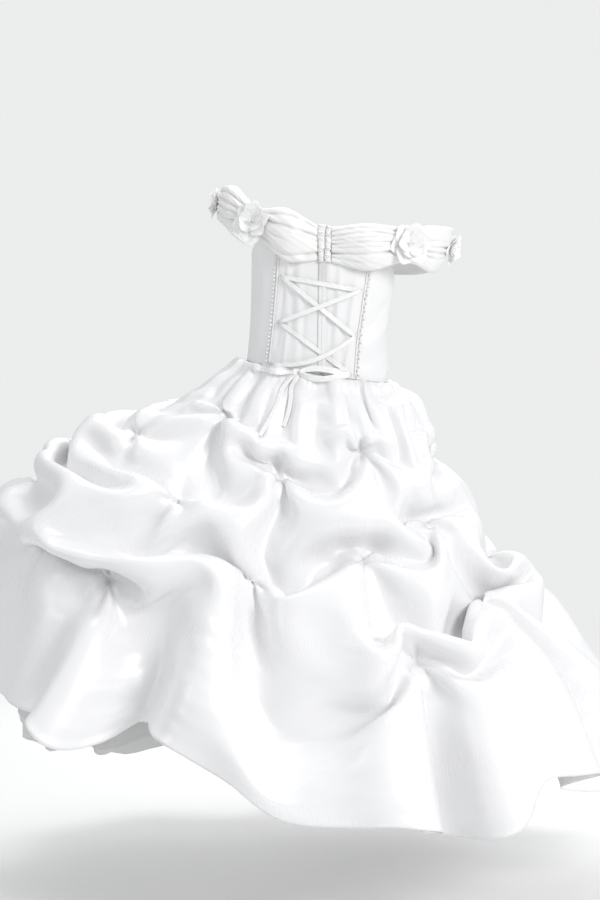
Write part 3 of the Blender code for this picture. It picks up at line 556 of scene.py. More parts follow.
def cloth_mesh(name, grids, finish, places=None, creases=None):
    """A mesh of one or more grids of cloth; grid[i][j] runs across with i and down with j.
    Its map gives each point's place on the cloth in metres, up from the lower edge."""
    points, faces, spots = [], [], []
    for k, grid in enumerate(grids):
        first = sum(len(p) for p in points)
        faces += [tuple(first + v for v in face) for face in grid_faces(*grid.shape[:2])]
        points.append(grid.reshape(-1, 3))
        if places is None:
            u, v = lengths_along(grid, 0), lengths_along(grid, 1)
            v = v[-1] - v
        else:
            u, v = places[k]
        u, v = np.meshgrid(u, v, indexing="ij")
        spots.append(np.stack([u, v], axis=-1).reshape(-1, 2))
    return finished_mesh(name, np.concatenate(points), faces, finish, np.concatenate(spots), creases)


def hang(name, mesh, nodes):
    """Put a piece on the dress, in place of its nodes of the frame."""
    piece = bpy.data.objects.new(name, mesh)
    bpy.context.scene.collection.objects.link(piece)
    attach(piece, "root")
    if nodes:
        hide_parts(*nodes)
    return piece


def cloth_piece(name, grids, finish, nodes, thickness=0.0008,
                places=None, creases=None):
    """A piece of cloth with its wall turned in from the face that the points lie on."""
    grids = grids if isinstance(grids, list) else [grids]
    piece = hang(name, cloth_mesh(name, grids, finish, places, creases), nodes)
    wall = piece.modifiers.new("wall", "SOLIDIFY")
    wall.thickness = thickness
    wall.offset = -1.0
    return piece


def tube_mesh(name, path, radius, finish, sides=10, flat=1.0, outs=None, closed=False):
    """A round or flattened tube along a path, capped at its ends."""
    path = np.asarray(path, float)
    if closed:
        along = unit(np.roll(path, -1, axis=0) - np.roll(path, 1, axis=0))
    else:
        along = unit(np.gradient(path, axis=0))
    outs = np.broadcast_to((0.0, -1.0, 0.0) if outs is None else outs, path.shape)
    side = unit(np.cross(along, outs))
    up = unit(np.cross(side, along))
    radius = np.broadcast_to(radius, len(path))[:, None]
    rings = []
    for k in range(sides):
        turn = 2 * math.pi * k / sides
        rings.append(path + radius * (math.cos(turn) * side + flat * math.sin(turn) * up))
    points = np.stack(rings, axis=1).reshape(-1, 3)
    count = len(path)
    steps = range(count) if closed else range(count - 1)
    faces = [(i * sides + k, i * sides + (k + 1) % sides,
              (i + 1) % count * sides + (k + 1) % sides, (i + 1) % count * sides + k)
             for i in steps for k in range(sides)]
    if not closed:
        faces.append(tuple(reversed(range(sides))))
        faces.append(tuple((count - 1) * sides + k for k in range(sides)))
    spots = np.stack([np.repeat(run_of(path), sides), np.tile(np.arange(sides) * 0.0006, count)], axis=-1)
    return finished_mesh(name, points, faces, finish, spots)


def joined(name, meshes, finish):
    """Several meshes of one finish made into one."""
    points, faces = [], []
    for part in meshes:
        first = len(points)
        points += [tuple(point.co) for point in part.vertices]
        faces += [tuple(first + v for v in face.vertices) for face in part.polygons]
        bpy.data.meshes.remove(part)
    return finished_mesh(name, points, faces, finish)


def bead_mesh(name, centres, radii, finish, rings=8, spokes=12):
    """Round beads, a little flattened at the hole."""
    points, faces = [], []
    for centre, radius in zip(centres, radii):
        first = len(points)
        for ring in range(1, rings):
            tilt = math.pi * ring / rings
            for spoke in range(spokes):
                turn = 2 * math.pi * spoke / spokes
                points.append((centre[0] + radius * math.sin(tilt) * math.cos(turn),
                               centre[1] + radius * math.sin(tilt) * math.sin(turn),
                               centre[2] + 0.94 * radius * math.cos(tilt)))
        top, bottom = len(points), len(points) + 1
        points.append((centre[0], centre[1], centre[2] + 0.90 * radius))
        points.append((centre[0], centre[1], centre[2] - 0.90 * radius))
        for spoke in range(spokes):
            after = (spoke + 1) % spokes
            faces.append((top, first + spoke, first + after))
            faces.append((bottom, first + (rings - 2) * spokes + after, first + (rings - 2) * spokes + spoke))
            for ring in range(rings - 2):
                low = first + ring * spokes
                faces.append((low + spoke, low + spokes + spoke, low + spokes + after, low + after))
    return finished_mesh(name, points, faces, finish)


def folds_over(across, down, folds):
    """The height that a table of soft folds gives each point of a panel: each fold runs from
    one place to another, with its height (less than 0 for a trough) and its spread."""
    out = np.zeros(np.shape(across))
    for start_x, start_y, end_x, end_y, height, spread in folds:
        run = np.array([end_x - start_x, end_y - start_y])
        long = float(run @ run)
        s = np.clip(((across - start_x) * run[0] + (down - start_y) * run[1]) / long, 0, 1)
        far = np.hypot(across - start_x - s * run[0], down - start_y - s * run[1])
        out += height * np.exp(-((far / spread) ** 2)) * (0.35 + 0.65 * np.sin(math.pi * (0.1 + 0.8 * s)))
    return out


# ------------------------------------------------------------------ bodice
# Soft creases by panel: start across and up, end across and up (metres), height, spread.
BODICE_FOLDS = {
    "bodice_back_left": (
        (0.012, 0.030, 0.018, 0.150, -0.0014, 0.0045), (0.026, 0.010, 0.030, 0.080, 0.0016, 0.0040),
        (0.034, 0.060, 0.031, 0.165, -0.0016, 0.0055), (0.046, 0.020, 0.044, 0.160, 0.0014, 0.0055),
        (0.053, 0.010, 0.054, 0.120, -0.0012, 0.0040), (0.022, 0.110, 0.020, 0.175, 0.0012, 0.0050)),
    "bodice_back_right": (
        (0.012, 0.020, 0.014, 0.170, -0.0013, 0.0045), (0.021, 0.050, 0.020, 0.160, 0.0014, 0.0045),
        (0.032, 0.010, 0.036, 0.130, -0.0015, 0.0060), (0.043, 0.060, 0.046, 0.170, 0.0014, 0.0050),
        (0.040, 0.010, 0.050, 0.060, 0.0012, 0.0040)),
    "bodice_side_back_right": (
        (0.006, 0.070, 0.050, 0.120, -0.0026, 0.0080), (0.008, 0.045, 0.056, 0.085, 0.0030, 0.0085),
        (0.010, 0.025, 0.060, 0.045, -0.0024, 0.0080), (0.020, 0.120, 0.070, 0.130, 0.0014, 0.0090),
        (0.050, 0.010, 0.090, 0.030, 0.0018, 0.0070)),
    "bodice_side_back_left": (
        (0.020, 0.030, 0.026, 0.150, -0.0010, 0.0080), (0.048, 0.020, 0.050, 0.110, 0.0010, 0.0090),
        (0.060, 0.100, 0.040, 0.160, 0.0010, 0.0080)),
    "bodice_front_centre": (
        (0.020, 0.010, 0.030, 0.060, 0.0010, 0.0070), (0.080, 0.015, 0.070, 0.070, 0.0010, 0.0070),
        (0.030, 0.130, 0.080, 0.135, -0.0008, 0.0090), (0.050, 0.010, 0.052, 0.050, -0.0010, 0.0060)),
    "bodice_front_side_left": (
        (0.030, 0.020, 0.060, 0.070, 0.0012, 0.0080), (0.050, 0.100, 0.090, 0.130, -0.0012, 0.0090),
        (0.015, 0.010, 0.030, 0.050, -0.0010, 0.0070)),
    "bodice_front_side_right": (
        (0.070, 0.020, 0.040, 0.070, 0.0012, 0.0080), (0.050, 0.100, 0.010, 0.125, -0.0012, 0.0090),
        (0.085, 0.010, 0.070, 0.050, -0.0010, 0.0070)),
}
PANEL_ACROSS, PANEL_DOWN = 44, 90
PLACKET_LIFT = 0.0016     # how far the placket lies off the bodice
PIPING_RADIUS, PEARLS, PEARL_RADIUS = 0.00125, 27, 0.00185


def make_bodice():
    for number, (name, first, last, cut) in enumerate(PANELS):
        u, v = np.meshgrid(np.linspace(0, 1, PANEL_ACROSS), np.linspace(1, 0, PANEL_DOWN), indexing="ij")
        trim = math.degrees(HALF_SEAM / WAIST_RADIUS)
        degrees = (seam_angle(first, v) + trim) * (1 - u) + (seam_angle(last, v) - trim) * u
        height = 0.0001 + v * by_angle(TOP_EDGE, 1, degrees)
        across = u * cut[0]
        edge = np.minimum(u, 1 - u) * cut[0]
        lift = folds_over(across, height, BODICE_FOLDS[name])
        lift *= soft_step(edge / 0.008)
        # the seams are drawn in, and the cloth puckers a little along them
        pucker = ripple(height, 20 + number, 0.011) * 0.00022 * np.exp(-edge / 0.006)
        lift += pucker - 0.0006 * np.exp(-((edge / 0.0014) ** 2))
        lift -= 0.0003 * np.exp(-((height / 0.003) ** 2))
        lift += 0.0005 * ripple(across, 40 + number, 0.012) * np.exp(-height / 0.014)
        cloth_piece(f"{name}_satin", bodice_point(degrees, height, lift), "bodice_satin", [name])


def make_placket():
    """The lapped strip over the zip: its free edge lies on the other, and both are turned in."""
    v = np.linspace(0.85, 0.02, 110)
    seam = seam_angle("zip", v)
    top = by_angle(TOP_EDGE, 1, seam)
    middle = bodice_point(seam, v * top)
    rows = []
    for side in np.linspace(-1, 1, 21):
        lap = 0.0007 * soft_step((side + 0.15) / 0.12) if side > -0.15 else 0.0
        roll = -0.0006 * (abs(side) > 0.93)
        wave = 0.00025 * ripple(v * top, 61, 0.016) * (1 - side * side)
        across = 0.5 * PLACKET_WIDTH * side
        lift = PLACKET_LIFT + lap + roll + wave
        rows.append(back_point(middle[:, 0] + across, middle[:, 2] + LEAN * across, lift))
    grid = np.array(rows)
    places = [(lengths_along(grid, 1), lengths_along(grid, 0))]
    turned = np.transpose(grid, (1, 0, 2))[::-1]
    cloth_piece("zip_placket_satin", turned, "placket_satin", ["zip_placket"],
                thickness=0.0005, places=places)


def make_princess_trim():
    """A folded strip beside a row of pearl beads, down each princess seam of the back."""
    for side, seam, inward, seed in (("left", "back_left", 1, 5), ("right", "back_right", -1, 9)):
        v = np.linspace(0.86, 0.03, 90)
        angle = seam_angle(seam, v)
        height = v * by_angle(TOP_EDGE, 1, angle)
        shake = 0.00022 * ripple(height, seed, 0.013)
        aside = inward * np.degrees((0.0018 + shake) / WAIST_RADIUS)
        path = bodice_point(angle + aside, height, 0.0011)
        outs = unit(bodice_point(angle, height, 0.01) - bodice_point(angle, height, 0.0))
        radius = PIPING_RADIUS + 0.00012 * ripple(height, seed + 1, 0.007)
        name = f"piping_{side}_satin"
        piping = tube_mesh(name, path, radius, "trim_satin", sides=12, flat=0.72, outs=outs)
        hang(name, piping, [f"piping_{side}"])
        w = np.linspace(0.845, 0.04, PEARLS)
        draw = np.random.default_rng(seed)
        turned = seam_angle(seam, w)
        high = w * by_angle(TOP_EDGE, 1, turned) + draw.uniform(-0.0004, 0.0004, PEARLS)
        zigzag = np.where(np.arange(PEARLS) % 2, 0.0007, -0.0007) * (0.35 if side == "left" else 1.3)
        off = -0.0034 + zigzag + draw.uniform(-0.0002, 0.0002, PEARLS)
        radii = PEARL_RADIUS + draw.uniform(-0.00012, 0.00010, PEARLS)
        centres = bodice_point(turned + inward * np.degrees(off / WAIST_RADIUS), high, 0.0016)
        name = f"pearl_row_{side}_beads"
        hang(name, bead_mesh(name, centres, radii, "pearl_bead"), [f"pearl_row_{side}"])


# ------------------------------------------------------------------ lacing and bow
LOOP_CORD = 0.00075        # radius of the cord that the lacing loops are made of
LACING_LIFT = 0.0026       # how far the lowest strand of the lacing lies off the bodice
GAP_OVER_GATHERS = 0.0022  # between the bow's loops and the skirt


def make_loops():
    """Small satin loops that stand a little off the seam and hold the ribbon."""
    for number, (name, (x, z)) in enumerate(LOOPS.items()):
        side = 1 if name.startswith("right") else -1
        turn = np.linspace(0, 2 * math.pi, 28, endpoint=False)
        across = x + 0.0042 * np.cos(turn) - side * 0.0006
        up = z + 0.0030 * np.sin(turn) + 0.0004 * np.sin(2 * turn + number)
        points = back_point(across, up, 0.0012 + 0.0008 * np.cos(turn) * -side)
        out = back_point(x, z, 0.01) - back_point(x, z, 0.0)
        node = f"lacing_loop_{name}"
        mesh = tube_mesh(f"{node}_cord", points, LOOP_CORD, "trim_satin", sides=8, outs=unit(out),
                         closed=True)
        hang(f"{node}_cord", mesh, [node])


def ribbon_grid(points, outs, width, seed, curl=0.0002, narrow_start=1.0, narrow_end=1.0):
    """A soft ribbon along points: its edges curl, its middle is creased, and it narrows
    where it passes through a loop."""
    points = np.asarray(points, float)
    along = unit(np.gradient(points, axis=0))
    side = unit(np.cross(outs, along))
    s = np.linspace(0, 1, len(points))
    narrow = 1 - (1 - narrow_start) * np.exp(-(s / 0.07) ** 2)
    narrow = narrow - (1 - narrow_end) * np.exp(-((1 - s) / 0.07) ** 2)
    run = run_of(points)
    rows = []
    for t in np.linspace(-1, 1, 13):
        wave = 0.00022 * ripple(run + 0.004 * t, seed, 0.015)
        crease = -curl * math.exp(-(t / 0.16) ** 2) - 1.2 * curl * t**4
        gathered = 0.0007 * (1 - narrow) * math.cos(4.5 * math.pi * t)
        lift = (wave + crease + gathered)[:, None]
        rows.append(points + side * (0.5 * width * t * narrow)[:, None] + outs * lift)
    return np.array(rows)[:, ::-1]


def ribbon_piece(node, grid):
    return cloth_piece(f"{node}_ribbon", grid, "ribbon_satin", [node], thickness=RIBBON_CLOTH)


def make_lacing():
    """Strands of ribbon from loop to loop: each rises over those below it and dips to its loops."""
    for number, (name, start, end, layer, sag) in enumerate(STRANDS):
        s = np.linspace(-0.025, 1.025, 70)
        a, b = np.array(LOOPS[start]), np.array(LOOPS[end])
        x = a[0] + (b[0] - a[0]) * s
        z = a[1] + (b[1] - a[1]) * s - sag * 4 * s * (1 - s)
        dip = np.exp(-((s + 0.02) / 0.035) ** 2) + np.exp(-((1.02 - s) / 0.035) ** 2)
        lift = LACING_LIFT + layer * RIBBON_LEVEL - dip * (0.0012 + layer * RIBBON_LEVEL * 0.8)
        points = back_point(x, z, lift)
        outs = unit(back_point(x, z, 0.02) - back_point(x, z, 0.0))
        twist = 0.22 * ripple(s, 70 + number, 0.6)
        along = unit(np.gradient(points, axis=0))
        outs = unit(outs + np.cross(outs, along) * twist[:, None])
        ribbon_piece(name, ribbon_grid(points, outs, RIBBON_WIDTH, 80 + number, narrow_start=0.55,
                                       narrow_end=0.55))


def back_of(skirt, point):
    """Where the hanging cloth is met from behind, level with a point, or nothing."""
    return skirt.ray_cast(Vector((point[0], -1.0, point[2])), Vector((0.0, 1.0, 0.0)))[0]


def room_over(skirt, points):
    """How far out each point has to come, so that both strands of a loop clear the gathers."""
    needed = np.zeros(len(points))
    for k, point in enumerate(points):
        met = back_of(skirt, point)
        if met and abs(met.y - point[1]) < 0.05:
            needed[k] = max(0.0, point[1] - met.y + GAP_OVER_GATHERS)
    apart = points[:, 0][:, None] - points[:, 0][None, :]
    return (needed[None, :] * np.exp(-(apart / 0.008) ** 2)).max(axis=1)


def make_knot(rings=26, spokes=40):
    """A band of ribbon pulled tight round the rest of the bow, with creases along it."""
    middle = back_point(*KNOT, KNOT_LIFT)
    points = []
    for i in range(rings + 1):
        tilt = math.pi * i / rings
        for k in range(spokes):
            turn = 2 * math.pi * k / spokes
            px, pz = math.sin(tilt) * math.cos(turn), math.sin(tilt) * math.sin(turn)
            swell = 1 + 0.07 * math.sin(5 * turn + 2.5 * math.cos(tilt)) * math.sin(tilt)
            waist = 1 - 0.16 * math.exp(-(px / 0.28) ** 2)
            points.append((middle[0] + KNOT_SIZE[0] * 0.92 * px * swell,
                           middle[1] + KNOT_SIZE[1] * 1.05 * math.cos(tilt) * waist,
                           middle[2] + KNOT_SIZE[2] * 1.02 * pz * swell * waist))
    faces = [(i * spokes + k, (i + 1) * spokes + k,
              (i + 1) * spokes + (k + 1) % spokes, i * spokes + (k + 1) % spokes)
             for i in range(rings) for k in range(spokes)]
    spots = np.array(points)[:, [0, 2]]
    mesh = finished_mesh("bow_knot_ribbon", points, faces, "ribbon_satin", spots)
    mesh.validate()
    hang("bow_knot_ribbon", mesh, ["bow_knot"])


def make_bow_loops(skirt):
    """Two loops of ribbon that lie over the gathers on either side of the knot."""
    x, z = KNOT
    for number, (name, (tip_x, tip_z, opening, parting)) in enumerate(BOW_LOOPS.items()):
        side = math.copysign(1.0, tip_x - x)
        start = x + side * KNOT_SIZE[0] * 0.55
        turn = np.linspace(0, math.pi, 17)
        out_run = np.linspace(0, 1, 24)[:-1]
        span = tip_x - side * opening * 0.5 - start
        xs = np.concatenate([start + span * out_run, start + span + side * 0.5 * opening * np.sin(turn),
                             start + span * out_run[::-1]])
        lift = np.concatenate([0.5 * out_run**0.5, 0.5 * np.cos(turn), -0.5 * out_run[::-1]**0.5]) * opening
        fullness = np.sin(math.pi * np.clip((xs - start) / span, 0, 1) ** 0.8)
        zs = z + (tip_z - z) * (xs - x) / (tip_x - x) - 2.1 * parting * fullness * np.sign(lift)
        over_skirt = 0.8 * np.clip(LEAN * xs - zs + 0.004, 0, 0.02)
        points = back_point(xs, zs, KNOT_LIFT + lift + over_skirt)
        points[:, 1] -= room_over(skirt, points)
        tilt = (-np.sign(lift) * fullness * 0.55 * (parting > 0.002))[:, None]
        upright = np.array([0.0, 0.0, 1.0]) + tilt * np.array([0.0, 1.0, 0.0])
        along = unit(np.gradient(points, axis=0))
        outs = unit(np.cross(along, upright)) * side
        width = RIBBON_WIDTH * (1.1 + 120 * parting)
        ribbon_piece(name, ribbon_grid(points, outs, width, 95 + number, curl=0.0003, narrow_start=0.5,
                                       narrow_end=0.5))


TAIL_POINTS = 60


def tail_route(side, name, skirt):
    """Where a tail of the bow runs: from under the knot, down over the hanging cloth."""
    knot = back_point(*KNOT, KNOT_LIFT)
    places = np.array(BOW_TAILS[name])
    surface = skirt_base(places[:, 0], places[:, 1])
    route = np.vstack([knot + np.array([side * 0.6 * TAIL_WIDTH, 0.0, -KNOT_SIZE[2] * 0.7]), surface])
    s = np.linspace(0, len(route) - 1, TAIL_POINTS)
    points = np.stack([smooth_table(np.arange(len(route)), route[:, k], s) for k in range(3)], axis=-1)
    for k, point in enumerate(points):
        met = back_of(skirt, point)
        points[k, 1] = min(knot[1], met.y if met else knot[1])
    # it hangs from fold to fold and lies a little off the cloth
    outer = points[:, 1].copy()
    for _ in range(12):
        eased_y = np.convolve(np.pad(points[:, 1], 2, mode="edge"), np.full(5, 0.2), mode="valid")
        points[:, 1] = np.minimum(outer, eased_y)
    points[:, 1] -= 0.0030 * soft_step(np.arange(TAIL_POINTS) / 8)
    points[0, 1] = knot[1]
    return points


def make_tails(skirt):
    """The free ends of the lacing ribbon, which hang from the bow over the skirt."""
    for side, name in zip((-1, 1), BOW_TAILS):
        points = tail_route(side, name, skirt)
        across = np.broadcast_to(unit(np.array([1.0, -0.35, -0.15])), points.shape)
        along = unit(np.gradient(points, axis=0))
        outs = unit(np.cross(along, across))
        s = np.linspace(0, 1, len(points))
        points = points + outs * (0.0006 * ripple(s, 110 + side, 0.5))[:, None]
        grid = ribbon_grid(points, outs, TAIL_WIDTH, 100 + side, curl=0.0005, narrow_start=0.7)
        piece = ribbon_piece(name, grid)


# ------------------------------------------------------------------ collar
# Pieces: first row, last row, columns, flat cut.
COLLAR_PIECES = (
    ("collar_back_left", "tab_left", "flower_back_left", 110, (0.105, 0.105)),
    ("sleeve_band_left", "flower_back_left", "flower_outer_left", 90, (0.100, 0.085)),
    ("collar_front", "flower_outer_left", "flower_outer_right", 240, (0.420, 0.100)),
    ("sleeve_band_right", "flower_outer_right", "flower_back_right", 90, (0.100, 0.085)),
    ("collar_back_right", "flower_back_right", "tab_right", 110, (0.118, 0.105)),
)
# Pleats of each piece: how far down it lies at the first end, the middle and the last end,
# how deep it is, how wide its roll is, and the stretch of the piece that it runs over.
COLLAR_PLEATS = {
    "collar_back_left": (
        (0.12, 0.15, 0.20, 0.0030, 0.085, 0.0, 0.8), (0.33, 0.35, 0.28, 0.0058, 0.150, 0.0, 1.0),
        (0.46, 0.45, 0.42, 0.0026, 0.060, 0.0, 0.40), (0.64, 0.62, 0.54, 0.0024, 0.070, 0.55, 1.0),
        (0.77, 0.86, 0.74, 0.0056, 0.170, 0.0, 1.0)),
    "collar_back_right": (
        (0.18, 0.11, 0.16, 0.0030, 0.060, 0.0, 1.0), (0.30, 0.21, 0.28, 0.0038, 0.065, 0.0, 1.0),
        (0.38, 0.31, 0.40, 0.0026, 0.050, 0.3, 1.0), (0.45, 0.41, 0.50, 0.0036, 0.065, 0.0, 1.0),
        (0.54, 0.51, 0.60, 0.0026, 0.055, 0.4, 1.0), (0.62, 0.64, 0.74, 0.0060, 0.110, 0.0, 1.0),
        (0.84, 0.84, 0.85, 0.0024, 0.080, 0.60, 1.0)),
    "sleeve_band_left": (
        (0.20, 0.16, 0.20, 0.0038, 0.070, 0.0, 0.9), (0.38, 0.34, 0.38, 0.0062, 0.100, 0.0, 1.0),
        (0.52, 0.50, 0.54, 0.0046, 0.070, 0.0, 1.0), (0.66, 0.70, 0.66, 0.0060, 0.110, 0.0, 1.0),
        (0.84, 0.88, 0.84, 0.0030, 0.080, 0.0, 0.6)),
    "sleeve_band_right": (
        (0.40, 0.36, 0.38, 0.0034, 0.070, 0.3, 1.0), (0.50, 0.48, 0.50, 0.0064, 0.090, 0.0, 1.0),
        (0.60, 0.60, 0.58, 0.0068, 0.070, 0.0, 1.0), (0.72, 0.72, 0.68, 0.0046, 0.080, 0.0, 0.8)),
    "collar_front": (
        (0.14, 0.12, 0.16, 0.0030, 0.070, 0.0, 1.0), (0.30, 0.26, 0.30, 0.0052, 0.110, 0.0, 1.0),
        (0.42, 0.40, 0.44, 0.0028, 0.060, 0.35, 1.0), (0.46, 0.50, 0.56, 0.0030, 0.070, 0.0, 0.55),
        (0.62, 0.64, 0.62, 0.0054, 0.120, 0.0, 1.0), (0.78, 0.82, 0.80, 0.0034, 0.100, 0.0, 0.8)),
}
COLLAR_DOWN = 72


def pleats_over(along, down, rows, seed):
    """How far each point of a collar piece sinks into its pleats."""
    sunk = np.zeros(np.shape(down))
    for number, (first, middle, last, depth, width, start, stop) in enumerate(rows):
        line = smooth_table((0.0, 0.5, 1.0), (first, middle, last), along)
        line = line + 0.012 * ripple(along, seed + number, 0.75) * np.sin(np.pi * along)
        fade = soft_step((along - start + 0.12) / 0.14) * soft_step((stop + 0.12 - along) / 0.14)
        depth = depth * (0.75 + 0.35 * ripple(along, seed + 50 + number, 0.5)
                         + 0.45 * np.exp(-np.minimum(along, 1 - along) / 0.12))
        # the roll above falls steeply to the crease, and the cloth below climbs slowly out of it
        steep, slow = 0.014 + 0.05 * width, 0.45 * width
        away = np.where(down < line, (line - down) / steep, (down - line) / slow)
        sunk += depth * fade * np.exp(-away ** 1.2)
    return sunk


def collar_surface(place_along, down, sunk=0.0):
    """The collar's face, which balloons out and is turned in along both edges."""
    rows = np.array([row[1:] for row in COLLAR])
    at = np.arange(len(rows))
    x, y, top, bottom, full, lean = (smooth_table(at, rows[:, k], place_along) for k in range(6))
    step = 0.01
    ahead_x, ahead_y = (smooth_table(at, rows[:, k], place_along + step) for k in (0, 1))
    back_x, back_y = (smooth_table(at, rows[:, k], place_along - step) for k in (0, 1))
    along = unit(np.stack([ahead_x - back_x, ahead_y - back_y], axis=-1))
    out_x, out_y = -along[..., 1], along[..., 0]
    belly = np.sin(np.pi * np.clip(down, 0, 1)) ** 0.7
    turn_in = 0.0080 * np.clip(1 - down / 0.08, 0, 1) ** 2 + 0.0050 * np.clip((down - 0.95) / 0.05, 0, 1) ** 2
    out = full * belly + 0.0020 - sunk - turn_in - lean * down
    z = top + (bottom - top) * down - 0.3 * turn_in * (down < 0.5)
    return np.stack([x + out_x * out, y + out_y * out, z], axis=-1)


def make_collar():
    names = [row[0] for row in COLLAR]
    for number, (name, first, last, columns, cut) in enumerate(COLLAR_PIECES):
        start, end = names.index(first) + 0.004, names.index(last) - 0.004
        u, v = np.meshgrid(np.linspace(0, 1, columns), np.linspace(0, 1, COLLAR_DOWN), indexing="ij")
        sunk = pleats_over(u, v, COLLAR_PLEATS[name], 130 + 10 * number)
        # how strongly painted shade is laid deep in each pleat's crease
        creases = np.clip(sunk / 0.006, 0, 1)[::-1] ** 3
        sunk = sunk - 0.0005 * ripple(u + 1.5 * v, 190 + number, 0.30)
        grid = collar_surface(start + (end - start) * u, v, sunk)
        cloth_piece(f"{name}_satin", grid[::-1], "collar_satin", [name],
                    thickness=0.0007, creases=creases)
    make_tab()


def make_tab():
    """The gathered strip at the centre back: two ruched edges that meet over the hooks."""
    left, right = np.array(COLLAR[0][1:]), np.array(COLLAR[-1][1:])
    grid = []
    down = np.linspace(0, 1, 170)
    slit = 0.64 - 0.20 * down + 0.03 * ripple(down, 19, 0.3)
    for s in np.linspace(0, 1, 49):
        x, y, top, bottom, full, _ = left + (right - left) * s
        x += 0.0006 * (1 - 2 * s)
        off = s - slit
        on_left = off < 0
        middle = np.where(on_left, 0.5 * slit, 0.5 * (1 + slit))
        wide = np.where(on_left, 0.5 * slit, 0.5 * (1 - slit))
        swell = np.sqrt(np.clip(1 - ((s - middle) / wide) ** 2, 0, 1))
        rows_left = np.sin(2 * np.pi * (down * 7.5 + 0.8 * ripple(down, 17, 0.35)) + 1.2 * s)
        rows_right = np.sin(2 * np.pi * (down * 12 + 0.8 * ripple(down, 29, 0.3)) - 1.5 * s)
        ruffle = np.where(on_left, 0.0015 * rows_left, 0.0010 * rows_right)
        out = full * np.sin(np.pi * down) ** 0.8 + (0.0026 + ruffle) * swell
        out -= 0.0030 * np.exp(-((off / 0.05) ** 2))
        sway = 0.0008 * ripple(down, 23, 0.21)
        grid.append(np.stack([x + sway, y - out, top + (bottom - top) * down], axis=-1))
    cloth_piece("collar_centre_tab_satin", np.array(grid), "collar_satin", ["collar_centre_tab"],
                thickness=0.0006)


# ------------------------------------------------------------------ flowers
# Flowers: collar section, facing, radius, petals outside and inside, turn, how far out they stand.
FLOWERS = (
    ("flower_back_left", (-0.40, -0.90, 0.10), 0.0290, 6, 4, 0.3, 0.0035),
    ("flower_back_right", (0.30, -0.95, 0.06), 0.0320, 6, 5, 1.2, 0.0035),
    ("flower_outer_left", (-0.97, 0.02, 0.14), 0.0230, 5, 4, 0.7, -0.0015),
    ("flower_outer_right", (0.88, -0.40, -0.20), 0.0240, 6, 4, 2.1, 0.0020),
)


# Layers of petals: their length and width in radii, how far they lift, cup, narrow to a point and
# curl back, how far up the layer starts, its turn in petals, and the share of its square cut used.
PETAL_LAYERS = {
    "outer": (1.04, 1.02, 0.0085, 0.0026, 0.26, 0.0030, 0.0, 0.0, 0.68),
    "inner": (0.66, 0.80, 0.0105, 0.0060, 0.10, 0.0010, 0.0020, 0.5, 0.88),
}
STAMENS, STEM_FOOT = 9, np.array([0, 0, 0.003])


def petal_grid(length, width, lift, cup, point, twist, back):
    """One petal that grows from its foot at the middle: s goes out, t goes across."""
    s, t = np.meshgrid(np.linspace(0, 1, 20), np.linspace(-1, 1, 15), indexing="ij")
    shape = np.sin(np.pi * (0.06 + 0.90 * s**1.15)) ** 0.75
    shape = shape * (1 - point * soft_step((s - 0.5) / 0.5)) + 0.02
    x = length * s
    y = 0.5 * width * shape * t
    rib = -0.0006 * np.exp(-(t / 0.16) ** 2) * np.sin(np.pi * s)
    z = lift * s + cup * (t * shape) ** 2 * (0.4 + s) - back * s**3 + rib
    z = z + 0.0005 * np.sin(4 * s + 2.5 * t) * s + twist * t * s * width * 0.25
    return np.stack([x, y, z], axis=-1)


def make_petals(name, layer, count, radius, turn, draw, middle, turn_to):
    """One layer of a flower, each petal a little different from the next."""
    long, broad, lift, cup, point, back, rise, shift, used = PETAL_LAYERS[layer]
    length, width = radius * long, radius * broad
    grids = []
    for k in range(count):
        angle = turn + 2 * math.pi * (k + shift) / count
        angle += draw.uniform(-0.12, 0.12)
        size = draw.uniform(0.90, 1.02)
        grid = petal_grid(length * size, width * draw.uniform(0.9, 1.05), lift * draw.uniform(0.75, 1.2),
                          cup * draw.uniform(0.7, 1.3), point, draw.uniform(-0.22, 0.22),
                          back * draw.uniform(0.3, 1.6))
        c, s = math.cos(angle), math.sin(angle)
        spun = grid @ np.array([[c, s, 0], [-s, c, 0], [0, 0, 1]])
        spun[..., 2] += rise + 0.0009 * (k % 2)
        grids.append(middle + spun @ turn_to.T)
    cloth_piece(f"{name}_{layer}_satin", grids, "petal_satin", [f"{name}_{layer}_petals"],
                thickness=0.0004)


def make_stamens(name, draw, middle, turn_to):
    """Pearl stamens on thread stems, leaning out from the middle of a flower."""
    stems = []
    for _ in range(STAMENS):
        angle, lean = draw.uniform(0, 2 * math.pi), draw.uniform(0.1, 0.75)
        tall = draw.uniform(0.0065, 0.0095)
        stems.append(np.array([tall * math.sin(lean) * math.cos(angle),
                               tall * math.sin(lean) * math.sin(angle), tall * math.cos(lean)]))
    tips = [middle + turn_to @ (tip + STEM_FOOT) for tip in stems]
    radii = draw.uniform(0.0010, 0.0014, STAMENS)
    hang(f"{name}_stamens", bead_mesh(f"{name}_stamens", tips, radii, "pearl_bead"), [])
    paths = [[middle + turn_to @ (tip * t + STEM_FOOT * t) for t in np.linspace(0.05, 0.95, 5)]
             for tip in stems]
    stalks = [tube_mesh(f"{name}_stem", path, 0.0003, "petal_satin", sides=6, outs=(0.3, 0.2, 0.93))
              for path in paths]
    hang(f"{name}_stems", joined(f"{name}_stems", stalks, "petal_satin"), [])


